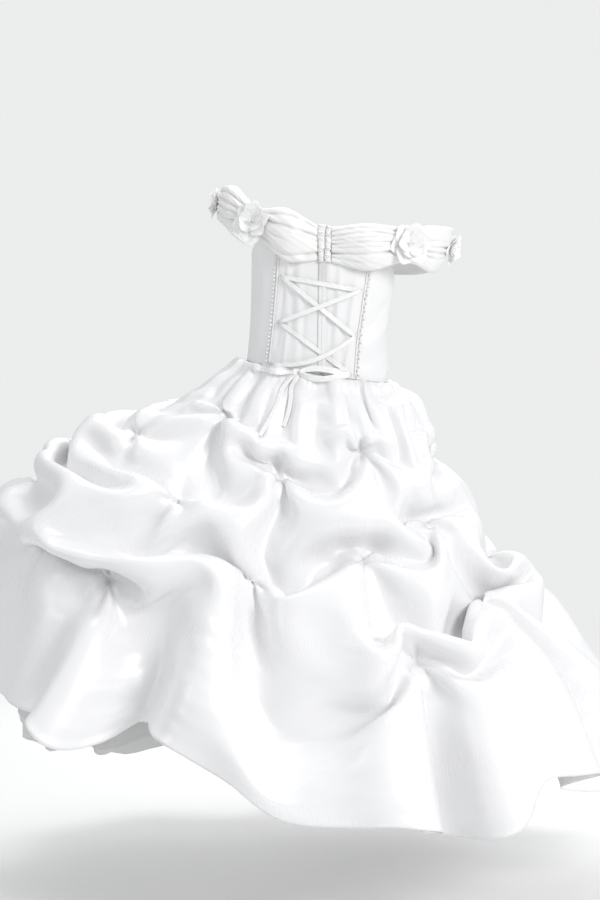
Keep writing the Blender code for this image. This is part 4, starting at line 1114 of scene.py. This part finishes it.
def make_flowers():
    names = [row[0] for row in COLLAR]
    for number, (name, facing, radius, outside, inside, turn, stand) in enumerate(FLOWERS):
        draw = np.random.default_rng(300 + number)
        out = Vector(facing).normalized()
        foot = collar_surface(np.array(float(names.index(name))), np.array(0.5))
        middle = np.array(foot) + np.array(out) * stand
        turn_to = np.array(out.to_track_quat("Z", "Y").to_matrix())
        make_petals(name, "outer", outside, radius, turn, draw, middle, turn_to)
        make_petals(name, "inner", inside, radius, turn, draw, middle, turn_to)
        make_stamens(name, draw, middle, turn_to)


# ------------------------------------------------------------------ skirt
# Tacks: angle, share of the way down, share of the spare length taken up there, how far in the
# cloth is caught, and the dent round it: its depth and its reach.
TACKS = (
    (222.5, 0.168, 0.04, 0.026, 0.018, 0.050), (225.5, 0.427, 0.30, 0.037, 0.030, 0.060),
    (219.8, 0.635, 1.00, 0.037, 0.038, 0.070), (254.7, 0.295, 0.18, 0.032, 0.030, 0.055),
    (251.5, 0.537, 0.60, 0.037, 0.038, 0.065), (292.8, 0.215, 0.06, 0.026, 0.022, 0.050),
    (284.3, 0.470, 0.50, 0.037, 0.038, 0.060), (295.0, 0.693, 1.10, 0.037, 0.040, 0.070),
    (320.8, 0.415, 0.30, 0.037, 0.034, 0.060), (327.2, 0.613, 1.00, 0.037, 0.036, 0.060),
    (352.0, 0.260, 0.12, 0.034, 0.026, 0.060), (3.0, 0.540, 0.65, 0.037, 0.038, 0.065),
    (31.0, 0.200, 0.05, 0.026, 0.022, 0.050), (27.0, 0.440, 0.32, 0.037, 0.036, 0.060),
    (38.0, 0.680, 1.00, 0.037, 0.038, 0.065), (62.0, 0.300, 0.18, 0.034, 0.028, 0.055),
    (57.0, 0.560, 0.66, 0.037, 0.036, 0.065), (92.0, 0.200, 0.05, 0.026, 0.020, 0.050),
    (86.0, 0.450, 0.32, 0.037, 0.036, 0.060), (96.0, 0.690, 1.00, 0.037, 0.038, 0.065),
    (121.0, 0.320, 0.20, 0.034, 0.028, 0.055), (117.0, 0.570, 0.66, 0.037, 0.036, 0.065),
    (150.0, 0.220, 0.06, 0.026, 0.022, 0.055), (146.0, 0.460, 0.34, 0.037, 0.036, 0.060),
    (153.0, 0.680, 1.00, 0.037, 0.036, 0.065), (172.0, 0.400, 0.38, 0.030, 0.030, 0.060),
    (185.0, 0.520, 0.70, 0.012, 0.014, 0.050), (200.0, 0.290, 0.08, 0.010, 0.010, 0.040),
    (204.0, 0.618, 1.00, 0.020, 0.020, 0.050),
)
# Folds that the tacked cloth falls into: start, middle and end as angle and share, height out,
# spread above and below the crest, and how far the crest droops.
FOLDS = (
    # pouches that hang between the tacks at the back
    ((235, 0.25), (241, 0.40), (254, 0.31), 0.024, 0.060, 0.018, 0.020),
    ((256, 0.31), (272, 0.40), (291, 0.23), 0.030, 0.070, 0.018, 0.024),
    ((253, 0.41), (257, 0.53), (268, 0.50), 0.020, 0.050, 0.016, 0.016),
    ((296, 0.29), (305, 0.42), (320, 0.43), 0.026, 0.060, 0.018, 0.020),
    ((286, 0.48), (297, 0.59), (304, 0.50), 0.026, 0.060, 0.018, 0.022),
    ((271, 0.55), (275, 0.66), (263, 0.71), 0.024, 0.055, 0.020, 0.016),
    ((297, 0.70), (314, 0.76), (327, 0.63), 0.030, 0.070, 0.020, 0.024),
    ((222, 0.52), (235, 0.47), (252, 0.33), 0.018, 0.030, 0.024, 0.006),
    # the swags over the held-out side
    ((186, 0.47), (206, 0.53), (219, 0.50), 0.026, 0.060, 0.020, 0.020),
    ((196, 0.59), (208, 0.63), (218, 0.64), 0.022, 0.040, 0.020, 0.012),
    ((236, 0.55), (226, 0.72), (231, 0.88), 0.024, 0.050, 0.030, 0.000),
    # pouches at the right, the front and the left
    ((322, 0.43), (337, 0.56), (352, 0.30), 0.028, 0.065, 0.020, 0.022),
    ((329, 0.62), (345, 0.70), (1, 0.56), 0.028, 0.065, 0.020, 0.022),
    ((5, 0.34), (14, 0.42), (29, 0.24), 0.024, 0.060, 0.020, 0.018),
    ((5, 0.56), (20, 0.68), (36, 0.67), 0.028, 0.065, 0.020, 0.022),
    ((30, 0.45), (43, 0.56), (60, 0.33), 0.028, 0.065, 0.020, 0.022),
    ((59, 0.57), (72, 0.66), (86, 0.48), 0.028, 0.065, 0.020, 0.022),
    ((64, 0.30), (77, 0.40), (90, 0.24), 0.024, 0.060, 0.020, 0.018),
    ((89, 0.46), (103, 0.56), (119, 0.35), 0.028, 0.065, 0.020, 0.022),
    ((98, 0.69), (110, 0.74), (117, 0.60), 0.024, 0.060, 0.020, 0.018),
    ((120, 0.58), (133, 0.66), (145, 0.48), 0.028, 0.065, 0.020, 0.022),
    ((124, 0.32), (137, 0.42), (149, 0.26), 0.024, 0.060, 0.020, 0.018),
    ((149, 0.47), (163, 0.58), (176, 0.40), 0.028, 0.065, 0.020, 0.022),
    ((155, 0.68), (169, 0.74), (181, 0.63), 0.024, 0.060, 0.020, 0.018),
    # long cones that fall from the low tacks to the hem
    ((219, 0.68), (212, 0.84), (208, 1.02), 0.022, 0.030, 0.030, 0.000),
    ((220, 0.68), (221, 0.84), (222, 1.02), 0.026, 0.032, 0.032, 0.000),
    ((251, 0.58), (247, 0.80), (243, 1.02), 0.024, 0.034, 0.034, 0.000),
    ((253, 0.58), (256, 0.80), (258, 1.02), 0.026, 0.034, 0.034, 0.000),
    ((284, 0.52), (281, 0.76), (276, 1.02), 0.026, 0.034, 0.034, 0.000),
    ((285, 0.52), (289, 0.76), (290, 1.02), 0.024, 0.030, 0.030, 0.000),
    ((296, 0.73), (300, 0.86), (305, 1.02), 0.022, 0.034, 0.034, 0.000),
    ((327, 0.66), (322, 0.84), (318, 1.02), 0.022, 0.034, 0.034, 0.000),
    ((4, 0.60), (0, 0.80), (356, 1.02), 0.020, 0.036, 0.036, 0.000),
    ((38, 0.72), (36, 0.86), (33, 1.02), 0.022, 0.036, 0.036, 0.000),
    ((57, 0.60), (60, 0.80), (63, 1.02), 0.024, 0.036, 0.036, 0.000),
    ((96, 0.73), (94, 0.86), (91, 1.02), 0.022, 0.036, 0.036, 0.000),
    ((117, 0.61), (121, 0.80), (125, 1.02), 0.024, 0.036, 0.036, 0.000),
    ((153, 0.72), (152, 0.86), (150, 1.02), 0.022, 0.036, 0.036, 0.000),
    ((183, 0.66), (181, 0.84), (178, 1.02), 0.020, 0.036, 0.036, 0.000),
)
# Cloth added at the hem (less than 0 where it is cut away), by angle.
HEM_CUT = (
    (0, 0.000), (180, -0.015), (196, -0.028), (212, -0.055), (222, -0.060), (229, -0.020),
    (238, -0.058), (246, -0.098), (254, -0.092), (260, -0.060), (270, -0.035), (280, -0.010),
    (290, 0.020), (299, 0.035), (306, 0.026), (312, -0.040), (318, -0.035), (326, -0.020),
    (334, -0.010), (345, -0.010), (360, 0.000),
)
SPARE_LENGTH = 0.18       # how much longer the cloth is than the bell it hangs over
SKIRT_LENGTH = 0.68       # from the waist to the hem down the bell, about
FOLD_LEAST_SPREAD, FOLD_STEPS = 0.018, 16
# How far inside the bell the cloth is stopped, by angle: least at the held-out side.
LINING_STAND = ((0, 0.055), (150, 0.050), (178, 0.016), (206, 0.016), (232, 0.045), (250, 0.055),
                (360, 0.055))
SKIRT_ROUND, SKIRT_DOWN = 180, 84
PULL_FRAMES, FALL_FRAMES = 22, 50        # the tacks are pulled up first, then the cloth settles
# How the satin behaves as it falls, and how it meets the lining.
SATIN_IN_WORK = {
    "quality": 5, "mass": 0.3, "tension_stiffness": 30.0, "compression_stiffness": 30.0,
    "shear_stiffness": 2.0, "bending_stiffness": 90.0, "pin_stiffness": 1.0, "tension_damping": 5.0,
    "compression_damping": 5.0, "shear_damping": 5.0, "bending_damping": 0.5, "air_damping": 1.0,
    "vertex_group_mass": "held",
}
MEETING = {"distance_min": 0.003, "collision_quality": 2}
LINING_IN_WORK = {"thickness_outer": 0.002, "cloth_friction": 0.0}
DRAW_AT_WAIST, DRAW_BELOW = 0.45, 0.20   # how strongly the cloth is drawn to its folds
PLEATS, PLEAT_DEPTH = 26, 0.0065         # at the waist of the cloth as it is laid
TAKEN_FROM = 0.24         # share of the way down where the cloth starts to be taken up
DEEPENED = 0.90           # share of the folds' height put back after the fall
SETTLED, SETTLE_REACH, SETTLE_TIMES = 0.35, 4.0, 14      # the smoothing round each tack
# Gathers onto the waist seam: draw, how many, how high, how far down they run.
GATHERS = ((8, 70, 0.0012, 0.022), (9, 31, 0.0022, 0.055), (10, 17, 0.0034, 0.105))
STAR_HEIGHT = 0.0062      # of the creases that run together at each tack
POINT_DEPTH, POINT_REACH = 0.013, 0.008  # of the point at which the thread draws the cloth in
HEM_TURN = 0.010          # depth of the turned-up hem
SKIRT_CUT, SKIRT_CUT_AREA = (1.36, 0.80), 0.88


def bell(degrees, share):
    """The skirt's bell, carried on straight past its hem."""
    inside = np.minimum(share, 1.0)
    hem, step = np.ones_like(share), 0.03
    slope = (skirt_base(degrees, hem) - skirt_base(degrees, hem - step)) / step
    return skirt_base(degrees, inside) + slope * np.array([0.6, 0.6, 1.0]) * (share - inside)[..., None]


def plain_grid(name, grid):
    mesh = bpy.data.meshes.new(name)
    mesh.from_pydata(grid.reshape(-1, 3).tolist(), [], grid_faces(*grid.shape[:2], closed=True))
    made = bpy.data.objects.new(name, mesh)
    bpy.context.scene.collection.objects.link(made)
    return made


def skirt_radius(share):
    """The skirt's radius, about, at a share of the way down."""
    return 0.095 + 0.32 * share


def across_and_down(degrees, share, place_degrees, place_share):
    """How far a point of the skirt lies from a place on it, round and down, in metres."""
    turn = (degrees - place_degrees + 180.0) % 360.0 - 180.0
    return np.radians(turn) * skirt_radius(np.asarray(place_share)), (share - place_share) * SKIRT_LENGTH


def folds_at(degrees, share, folds):
    """How far the tacks and some folds move each point out, and how far they let it droop."""
    out = np.zeros(np.shape(degrees))
    droop = np.zeros(np.shape(degrees))
    for angle, tack_share, _, _, depth, reach in TACKS:
        across, down = across_and_down(degrees, share, angle, tack_share)
        out -= depth * np.exp(-np.hypot(across, down) / reach * 1.3)
    for start, middle, end, height, above, below, sag in folds:
        start, middle, end = (np.array(place, float) for place in (start, middle, end))
        middle[0] = start[0] + (middle[0] - start[0] + 180) % 360 - 180
        end[0] = middle[0] + (end[0] - middle[0] + 180) % 360 - 180
        bend = 2 * middle - 0.5 * (start + end)
        s = np.linspace(0, 1, FOLD_STEPS + 1)
        path = ((1 - s)**2)[:, None] * start + (2 * s * (1 - s))[:, None] * bend + (s**2)[:, None] * end
        across, down = across_and_down(degrees[..., None], share[..., None], path[:, 0], path[:, 1])
        far = np.hypot(across, down)
        nearest = np.argmin(far, axis=-1)
        far = np.take_along_axis(far, nearest[..., None], -1)[..., 0]
        is_below = np.take_along_axis(down, nearest[..., None], -1)[..., 0] > 0
        spread = np.maximum(np.where(is_below, below, above), FOLD_LEAST_SPREAD)
        window = soft_step(s[nearest] / 0.35)
        if end[1] < 1:
            window = window * soft_step((1 - s[nearest]) / 0.35)
        weight = window * np.exp(-((far / spread) ** 2))
        out += height * weight
        droop += sag * weight
    return out, droop


def folded_point(degrees, share):
    """A point of the skirt with its tacks and folds."""
    out, droop = folds_at(degrees, share, FOLDS)
    near_waist = soft_step(share / 0.10)
    points = skirt_base(degrees, share)
    points = points + outward(skirt_base, degrees, share) * (out * near_waist)[..., None]
    points[..., 2] -= droop * near_waist
    return points


def cloth_runs():
    """By angle, the running length down the bell at each share, and the cloth's whole length."""
    degrees = np.linspace(0, 360, SKIRT_ROUND, endpoint=False)
    shares = np.linspace(0, 1.7, 171)
    surface = bell(*np.meshgrid(degrees, shares, indexing="ij"))
    steps = np.linalg.norm(np.diff(surface, axis=1), axis=2)
    run = np.concatenate([np.zeros((SKIRT_ROUND, 1)), np.cumsum(steps, axis=1)], axis=1)
    total = np.array([np.interp(1.0, shares, line) for line in run]) + SPARE_LENGTH
    return degrees, shares, surface, run, total + by_angle(HEM_CUT, 1, degrees)


def lay_skirt():
    """The cloth laid down the bell, too long, with its waist pleated, and where each tack
    takes it.  Gives the laid points, the tacked points, the pinned points, the tacks' places on
    the grid and the share of the way down at which each point comes to rest."""
    degrees, shares, surface, run, total = cloth_runs()
    down = np.linspace(0, 1, SKIRT_DOWN + 1)
    laid = np.zeros((SKIRT_ROUND, SKIRT_DOWN + 1, 3))
    for i in range(SKIRT_ROUND):
        reached = np.interp(down * total[i], run[i], shares)
        laid[i] = np.stack([np.interp(reached, shares, surface[i, :, k]) for k in range(3)], axis=-1)
    pleat_sizes = np.random.default_rng(3).uniform(0.7, 1.3, SKIRT_ROUND)
    turn = np.cumsum(pleat_sizes) / pleat_sizes.sum() * 2 * math.pi * PLEATS
    stand = PLEAT_DEPTH * (0.75 + np.sin(turn))[:, None] * np.exp(-(down / 0.35) ** 2)
    stand = stand * soft_step(down / 0.07)
    drawn, shares_held = folded_rest()
    for cloth in (laid, drawn):
        cloth[..., 0] += stand * np.cos(np.radians(degrees))[:, None]
        cloth[..., 1] += stand * np.sin(np.radians(degrees))[:, None]
    pinned = [i * (SKIRT_DOWN + 1) for i in range(SKIRT_ROUND)]
    drawn[:, 0] = laid[:, 0]
    spots = []
    for angle, share, taken, depth, _, _ in TACKS:
        i = int(round(angle / 360 * SKIRT_ROUND)) % SKIRT_ROUND
        j = int(round((np.interp(share, shares, run[i]) + taken * SPARE_LENGTH) / total[i] * SKIRT_DOWN))
        spots.append((i, j))
        inwards = np.array([-math.cos(math.radians(angle)), -math.sin(math.radians(angle)), 0.0])
        caught = skirt_base(np.array(angle), np.array(share)) + inwards * depth
        for di, dj in ((0, 0), (1, 0), (-1, 0), (0, 1), (0, -1)):
            spot = ((i + di) % SKIRT_ROUND, j + dj)
            drawn[spot] = caught + 0.35 * (laid[spot] - laid[i, j])
            pinned.append(spot[0] * (SKIRT_DOWN + 1) + spot[1])
    return laid, drawn, pinned, spots, shares_held


def folded_rest():
    """Where each point of the cloth rests once the tacks have taken up the spare length."""
    degrees, shares, _, run, total = cloth_runs()
    share = np.linspace(0, 1.2, 121)
    folded = folded_point(*np.meshgrid(degrees, share, indexing="ij"))
    down = np.linspace(0, 1, SKIRT_DOWN + 1)
    rest = np.zeros((SKIRT_ROUND, SKIRT_DOWN + 1, 3))
    held_at = np.zeros((SKIRT_ROUND, SKIRT_DOWN + 1))
    for i, angle in enumerate(degrees):
        # the spare length taken so far is what the tacks nearby have taken
        taken = soft_step((share - TAKEN_FROM) / 0.50) / 0.10**3
        weight = np.full(len(share), 1 / 0.10**3)
        for tack_angle, tack_share, tack_taken, _, _, _ in TACKS:
            far = np.hypot(*across_and_down(angle, share, tack_angle, tack_share)) + 0.012
            near = soft_step((share / tack_share - 0.50) / 0.50) / far**3
            taken = taken + near * tack_taken
            weight = weight + near
        length = np.interp(share, shares, run[i]) + SPARE_LENGTH * taken / weight
        length = np.maximum.accumulate(length + 1e-5 * np.arange(len(length)))
        held_at[i] = np.interp(down * total[i], length, share)
        rest[i] = np.stack([np.interp(held_at[i], share, folded[i, :, k]) for k in range(3)], axis=-1)
    return rest, held_at


def deepened(cloth, shares_held):
    """Deepen the dents at the tacks and the cones below them, which the fall has softened."""
    degrees = np.broadcast_to(np.linspace(0, 360, SKIRT_ROUND, endpoint=False)[:, None], shares_held.shape)
    cones = [fold for fold in FOLDS if fold[2][1] > 1]
    out = DEEPENED * folds_at(degrees, shares_held, cones)[0] * soft_step((shares_held - 0.10) / 0.15)
    out = np.where(out < 0, 0.18 * out, out)
    return cloth + outward(bell, degrees, shares_held) * out[..., None]


def settle_tacks(cloth, spots):
    """Draw the cloth smooth round each tack, so that its folds run together there."""
    columns, rows = cloth.shape[:2]
    i, j = np.meshgrid(np.arange(columns), np.arange(rows), indexing="ij")
    weight = np.zeros((columns, rows))
    for at_i, at_j in spots:
        round_it = (i - at_i + columns / 2) % columns - columns / 2
        weight = np.maximum(weight, np.clip(1.25 - np.hypot(round_it, j - at_j) / SETTLE_REACH, 0, 1))
    weight = SETTLED * weight[:, 1:-1, None]
    for _ in range(SETTLE_TIMES):
        around = np.roll(cloth, 1, 0) + np.roll(cloth, -1, 0)
        near = 0.25 * (around[:, 1:-1] + cloth[:, :-2] + cloth[:, 2:])
        cloth = cloth.copy()
        cloth[:, 1:-1] += weight * (near - cloth[:, 1:-1])
    return cloth


def set_each(owner, settings):
    for setting, value in settings.items():
        setattr(owner, setting, value)


def lining_in_work():
    """The surface that stops the falling cloth, a little inside the bell."""
    degrees, share = np.meshgrid(np.linspace(0, 360, 90, endpoint=False), np.linspace(0, 1.5, 50),
                                 indexing="ij")
    stand = by_angle(LINING_STAND, 1, degrees) * soft_step(share / 0.3) + 0.004
    inside = bell(degrees, share) - outward(bell, degrees, share) * stand[..., None]
    under = plain_grid("lining_in_work", inside)
    under.modifiers.new("stop", "COLLISION")
    set_each(under.collision, LINING_IN_WORK)
    return under


def fall_of_cloth(laid, drawn, pinned):
    """Pull the tacks up over the lining and let the cloth fall, drawn softly to its folds."""
    cloth = plain_grid("skirt_in_work", laid)
    cloth.shape_key_add(name="laid")
    key = cloth.shape_key_add(name="tacked")
    key.data.foreach_set("co", drawn.reshape(-1).tolist())
    held = cloth.vertex_groups.new(name="held")
    for j in range(SKIRT_DOWN + 1):
        below = float(soft_step((j / SKIRT_DOWN - 0.10) / 0.22))
        row = [i * (SKIRT_DOWN + 1) + j for i in range(SKIRT_ROUND)]
        held.add(row, DRAW_AT_WAIST + (DRAW_BELOW - DRAW_AT_WAIST) * below, "REPLACE")
    held.add(pinned, 1.0, "REPLACE")
    under = lining_in_work()
    sewn = cloth.modifiers.new("satin", "CLOTH")
    set_each(sewn.settings, SATIN_IN_WORK)
    set_each(sewn.collision_settings, MEETING)
    sewn.point_cache.frame_start = 1
    sewn.point_cache.frame_end = FALL_FRAMES + 1
    key.value = 0.0
    key.keyframe_insert("value", frame=1)
    key.value = 1.0
    key.keyframe_insert("value", frame=1 + PULL_FRAMES)
    for step in range(1, FALL_FRAMES + 1):
        bpy.context.scene.frame_set(step)
    worked = cloth.evaluated_get(bpy.context.evaluated_depsgraph_get())
    mesh = worked.to_mesh()
    fallen = np.empty(len(mesh.vertices) * 3)
    mesh.vertices.foreach_get("co", fallen)
    worked.to_mesh_clear()
    clear_work(cloth)
    clear_work(under)
    bpy.context.scene.frame_set(1)
    return fallen.reshape(laid.shape)


def clear_work(made):
    """Remove a working object with its mesh and whatever moved it."""
    mesh = made.data
    for action in list(bpy.data.actions):
        bpy.data.actions.remove(action)
    bpy.data.objects.remove(made)
    bpy.data.meshes.remove(mesh)


def between(grid, axis, closed):
    """Twice as many points along one way of a grid, on smooth curves through those given."""
    grid = np.moveaxis(grid, axis, 0)
    if closed:
        before, after, next_on = np.roll(grid, 1, 0), np.roll(grid, -1, 0), np.roll(grid, -2, 0)
        mid = (-before + 9 * grid + 9 * after - next_on) / 16
        fine = np.empty((2 * len(grid), *grid.shape[1:]))
        fine[0::2], fine[1::2] = grid, mid
    else:
        ends = np.concatenate([2 * grid[:1] - grid[1:2], grid, 2 * grid[-1:] - grid[-2:-1]])
        mid = (-ends[:-3] + 9 * ends[1:-2] + 9 * ends[2:-1] - ends[3:]) / 16
        fine = np.empty((2 * len(grid) - 1, *grid.shape[1:]))
        fine[0::2], fine[1::2] = grid, mid
    return np.moveaxis(fine, 0, axis)


def eased(grid, times):
    """Take the kinks out of a closed grid, leaving its top and bottom edges where they are."""
    for _ in range(times):
        around = 0.25 * (np.roll(grid, 1, 0) + np.roll(grid, -1, 0))
        updown = 0.25 * (grid[:, :-2] + grid[:, 2:])
        inner = 0.5 * grid[:, 1:-1] + 0.5 * (around[:, 1:-1] + updown)
        grid = np.concatenate([grid[:, :1], inner, grid[:, -1:]], axis=1)
    return grid


def grid_normals(grid):
    round_it = np.roll(grid, -1, 0) - np.roll(grid, 1, 0)
    down_it = np.gradient(grid, axis=1)
    return unit(np.cross(down_it, round_it))


def gathers_at_waist(run):
    """How far the gathers lift the cloth: fine ones, and deeper ones among them."""
    column = np.arange(len(run))
    lift = np.zeros(run.shape)
    for seed, count, depth, length in GATHERS:
        spacing = np.random.default_rng(seed).uniform(0.45, 1.55, len(run))
        turn = np.cumsum(spacing) / spacing.sum() * 2 * math.pi * count
        reach = length * (1 + 0.45 * ripple(column, seed + 4, 40.0))
        size = depth * (1 + 0.5 * ripple(column, seed + 5, 30.0))
        wave = (size * (0.6 + np.sin(turn)))[:, None] * np.exp(-((run / reach[:, None]) ** 2))
        lift += wave * soft_step(run / 0.014)
    return lift


def skirt_cloth():
    """The skirt's cloth as it hangs, as one closed grid of points."""
    laid, drawn, pinned, spots, shares_held = lay_skirt()
    fallen = drawn
    fallen = deepened(settle_tacks(fall_of_cloth(laid, drawn, pinned), spots), shares_held)
    fallen[:, 0] = laid[:, 0]
    fine = between(between(eased(fallen, 1), 0, True), 1, False)
    steps = np.linalg.norm(np.diff(fine, axis=1), axis=2)
    run = np.concatenate([np.zeros((len(fine), 1)), np.cumsum(steps, axis=1)], 1)
    lift = gathers_at_waist(run)
    lift += 0.0034 * np.exp(-((run / 0.011) ** 2)) * soft_step(run / 0.003)
    lift += stars_at_tacks(fine, spots) * soft_step(run / 0.060)
    fine = fine + grid_normals(fine) * lift[..., None]
    fine[..., 2] += 0.0002 * np.exp(-((run / 0.004) ** 2))
    edge = run[:, -1:] - run
    return fine + grid_normals(fine) * (0.0005 * (1 - soft_step((edge - HEM_TURN) / 0.002)))[..., None]


def stars_at_tacks(fine, spots):
    """How far the creases that run together at each tack lift the cloth, and the point at which
    each tack draws it in."""
    columns, rows = fine.shape[:2]
    i, j = np.meshgrid(np.arange(columns), np.arange(rows), indexing="ij")
    lift = np.zeros((columns, rows))
    for number, (at_i, at_j) in enumerate(spots):
        at_i, at_j = 2 * at_i, 2 * at_j
        ahead, below = np.roll(fine, -1, 0)[at_i, at_j], fine[at_i, at_j + 1]
        wide, tall = np.linalg.norm(ahead - fine[at_i, at_j]), np.linalg.norm(below - fine[at_i, at_j])
        across = ((i - at_i + columns / 2) % columns - columns / 2) * max(wide, 0.0025)
        down = (j - at_j) * max(tall, 0.0035)
        far, turn = np.hypot(across, down), np.arctan2(down, across)
        draw = np.random.default_rng(400 + number)
        creases = sum(draw.uniform(0.3, 0.5) * np.cos(count * turn + draw.uniform(0, 2 * math.pi))
                      for count in (3, 5, 7))
        reach = draw.uniform(0.016, 0.024)
        lift += STAR_HEIGHT * (0.4 + creases) * far / reach * np.exp(1 - far / reach)
        lift -= POINT_DEPTH * np.exp(-far / POINT_REACH)
    return lift


def make_skirt(fine):
    """The outer skirt in two halves, cut apart at the side seams."""
    columns, rows = fine.shape[:2]
    half = columns // 2
    wide, long = SKIRT_CUT
    places = [(np.linspace(0, wide, half + 1), long * np.linspace(1, 0, rows))]
    halves = (("back", np.concatenate([fine[half:], fine[:1]])), ("front", fine[:half + 1]))
    for side, grid in halves:
        cloth_piece(f"skirt_{side}_satin", grid, "skirt_satin", [f"skirt_{side}"],
                    thickness=0.0010, places=places)


def make_lining():
    """Two halves of plain cloth inside the bell, in soft waves that grow towards the hem."""
    for side, first, last in (("back", 180.0, 360.0), ("front", 0.0, 180.0)):
        u, v = np.meshgrid(np.linspace(0, 1, 170), np.linspace(0, 1, 64), indexing="ij")
        trim = np.degrees(HALF_SEAM / skirt_radius(v))
        degrees = (first + trim) * (1 - u) + (last - trim) * u
        share = v * by_angle(LINING_HEM, 1, degrees)
        inset = 0.0022 + (LINING_INSET + 0.004) * soft_step(share / 0.30)
        waves = 0.0055 * v**2 * ripple(degrees, 31, 17.0) + 0.0016 * v * ripple(degrees + 6 * v, 37, 5.0)
        normal = outward(skirt_base, degrees, share)
        grid = skirt_base(degrees, share) - normal * (inset - waves)[..., None]
        cloth_piece(f"lining_{side}_cloth", grid, "lining_cloth", [f"lining_{side}"],
                    thickness=0.0007)


# ------------------------------------------------------------------ the dress
set_up_studio()
GROUPS = {"satin_weave": make_weave(), "cloth_tone": make_tone(), "stitch_line": make_stitch_line()}
# Finishes: two shades, least and most roughness, and what sets each cloth apart.
CLOTHS = {
    "bodice_satin": ((0.90, 0.90, 0.90), (0.87, 0.87, 0.872), (0.30, 0.38), {}),
    # the collar takes a painted shade, darker and warm, deep in its creases
    "collar_satin": ((0.905, 0.905, 0.90), (0.88, 0.875, 0.86), (0.30, 0.38),
                     {"crease": (0.85, 0.825, 0.76)}),
    "skirt_satin": ((0.895, 0.895, 0.90), (0.875, 0.875, 0.885), (0.23, 0.32),
                    {"bump": 0.14, "slub": 0.04, "patches": 5.0, "sheen": 0.07, "shine": 0.75}),
    "trim_satin": ((0.91, 0.91, 0.905), (0.88, 0.88, 0.87), (0.32, 0.42), {"patches": 30.0}),
    # the placket is painted grey near its top, a painted shadow of the gap under its lap, and it fades to the
    # satin's white further down; it also takes painted shade beside its stitches
    "placket_satin": ((0.74, 0.74, 0.745), (0.70, 0.70, 0.71), (0.34, 0.44),
                      {"stitches": ((0.0012, 0.0022, 0.00025), (0.0103, 0.0022, 0.00025)),
                       "shade_fade_along": ((0.88, 0.88, 0.88), 0.116, 0.140)}),
    "ribbon_satin": ((0.94, 0.94, 0.935), (0.92, 0.92, 0.91), (0.28, 0.36), {"patches": 24.0}),
    "petal_satin": ((0.95, 0.95, 0.945), (0.94, 0.94, 0.93), (0.42, 0.54), {"patches": 40.0, "shine": 0.35}),
    # the lining takes painted shade beside its hem stitches
    "lining_cloth": ((0.74, 0.74, 0.73), (0.70, 0.70, 0.70), (0.60, 0.75),
                     {"bump": 0.35, "threads": 1000.0, "stitches": ((0.009, 0.0026, 0.0004),)}),
}
FINISHES = {name: cloth_finish(name, *look, **apart) for name, (*look, apart) in CLOTHS.items()}
FINISHES["pearl_bead"] = pearl_finish()
SKIRT_CLOTH = skirt_cloth()
HANGING_SKIRT = BVHTree.FromPolygons(SKIRT_CLOTH.reshape(-1, 3).tolist(),
                                     grid_faces(*SKIRT_CLOTH.shape[:2], closed=True))
make_tails(HANGING_SKIRT)
make_bodice()
make_placket()
make_princess_trim()
make_loops()
make_lacing()
make_knot()
make_bow_loops(HANGING_SKIRT)
make_collar()
make_flowers()
make_skirt(SKIRT_CLOTH)
make_lining()
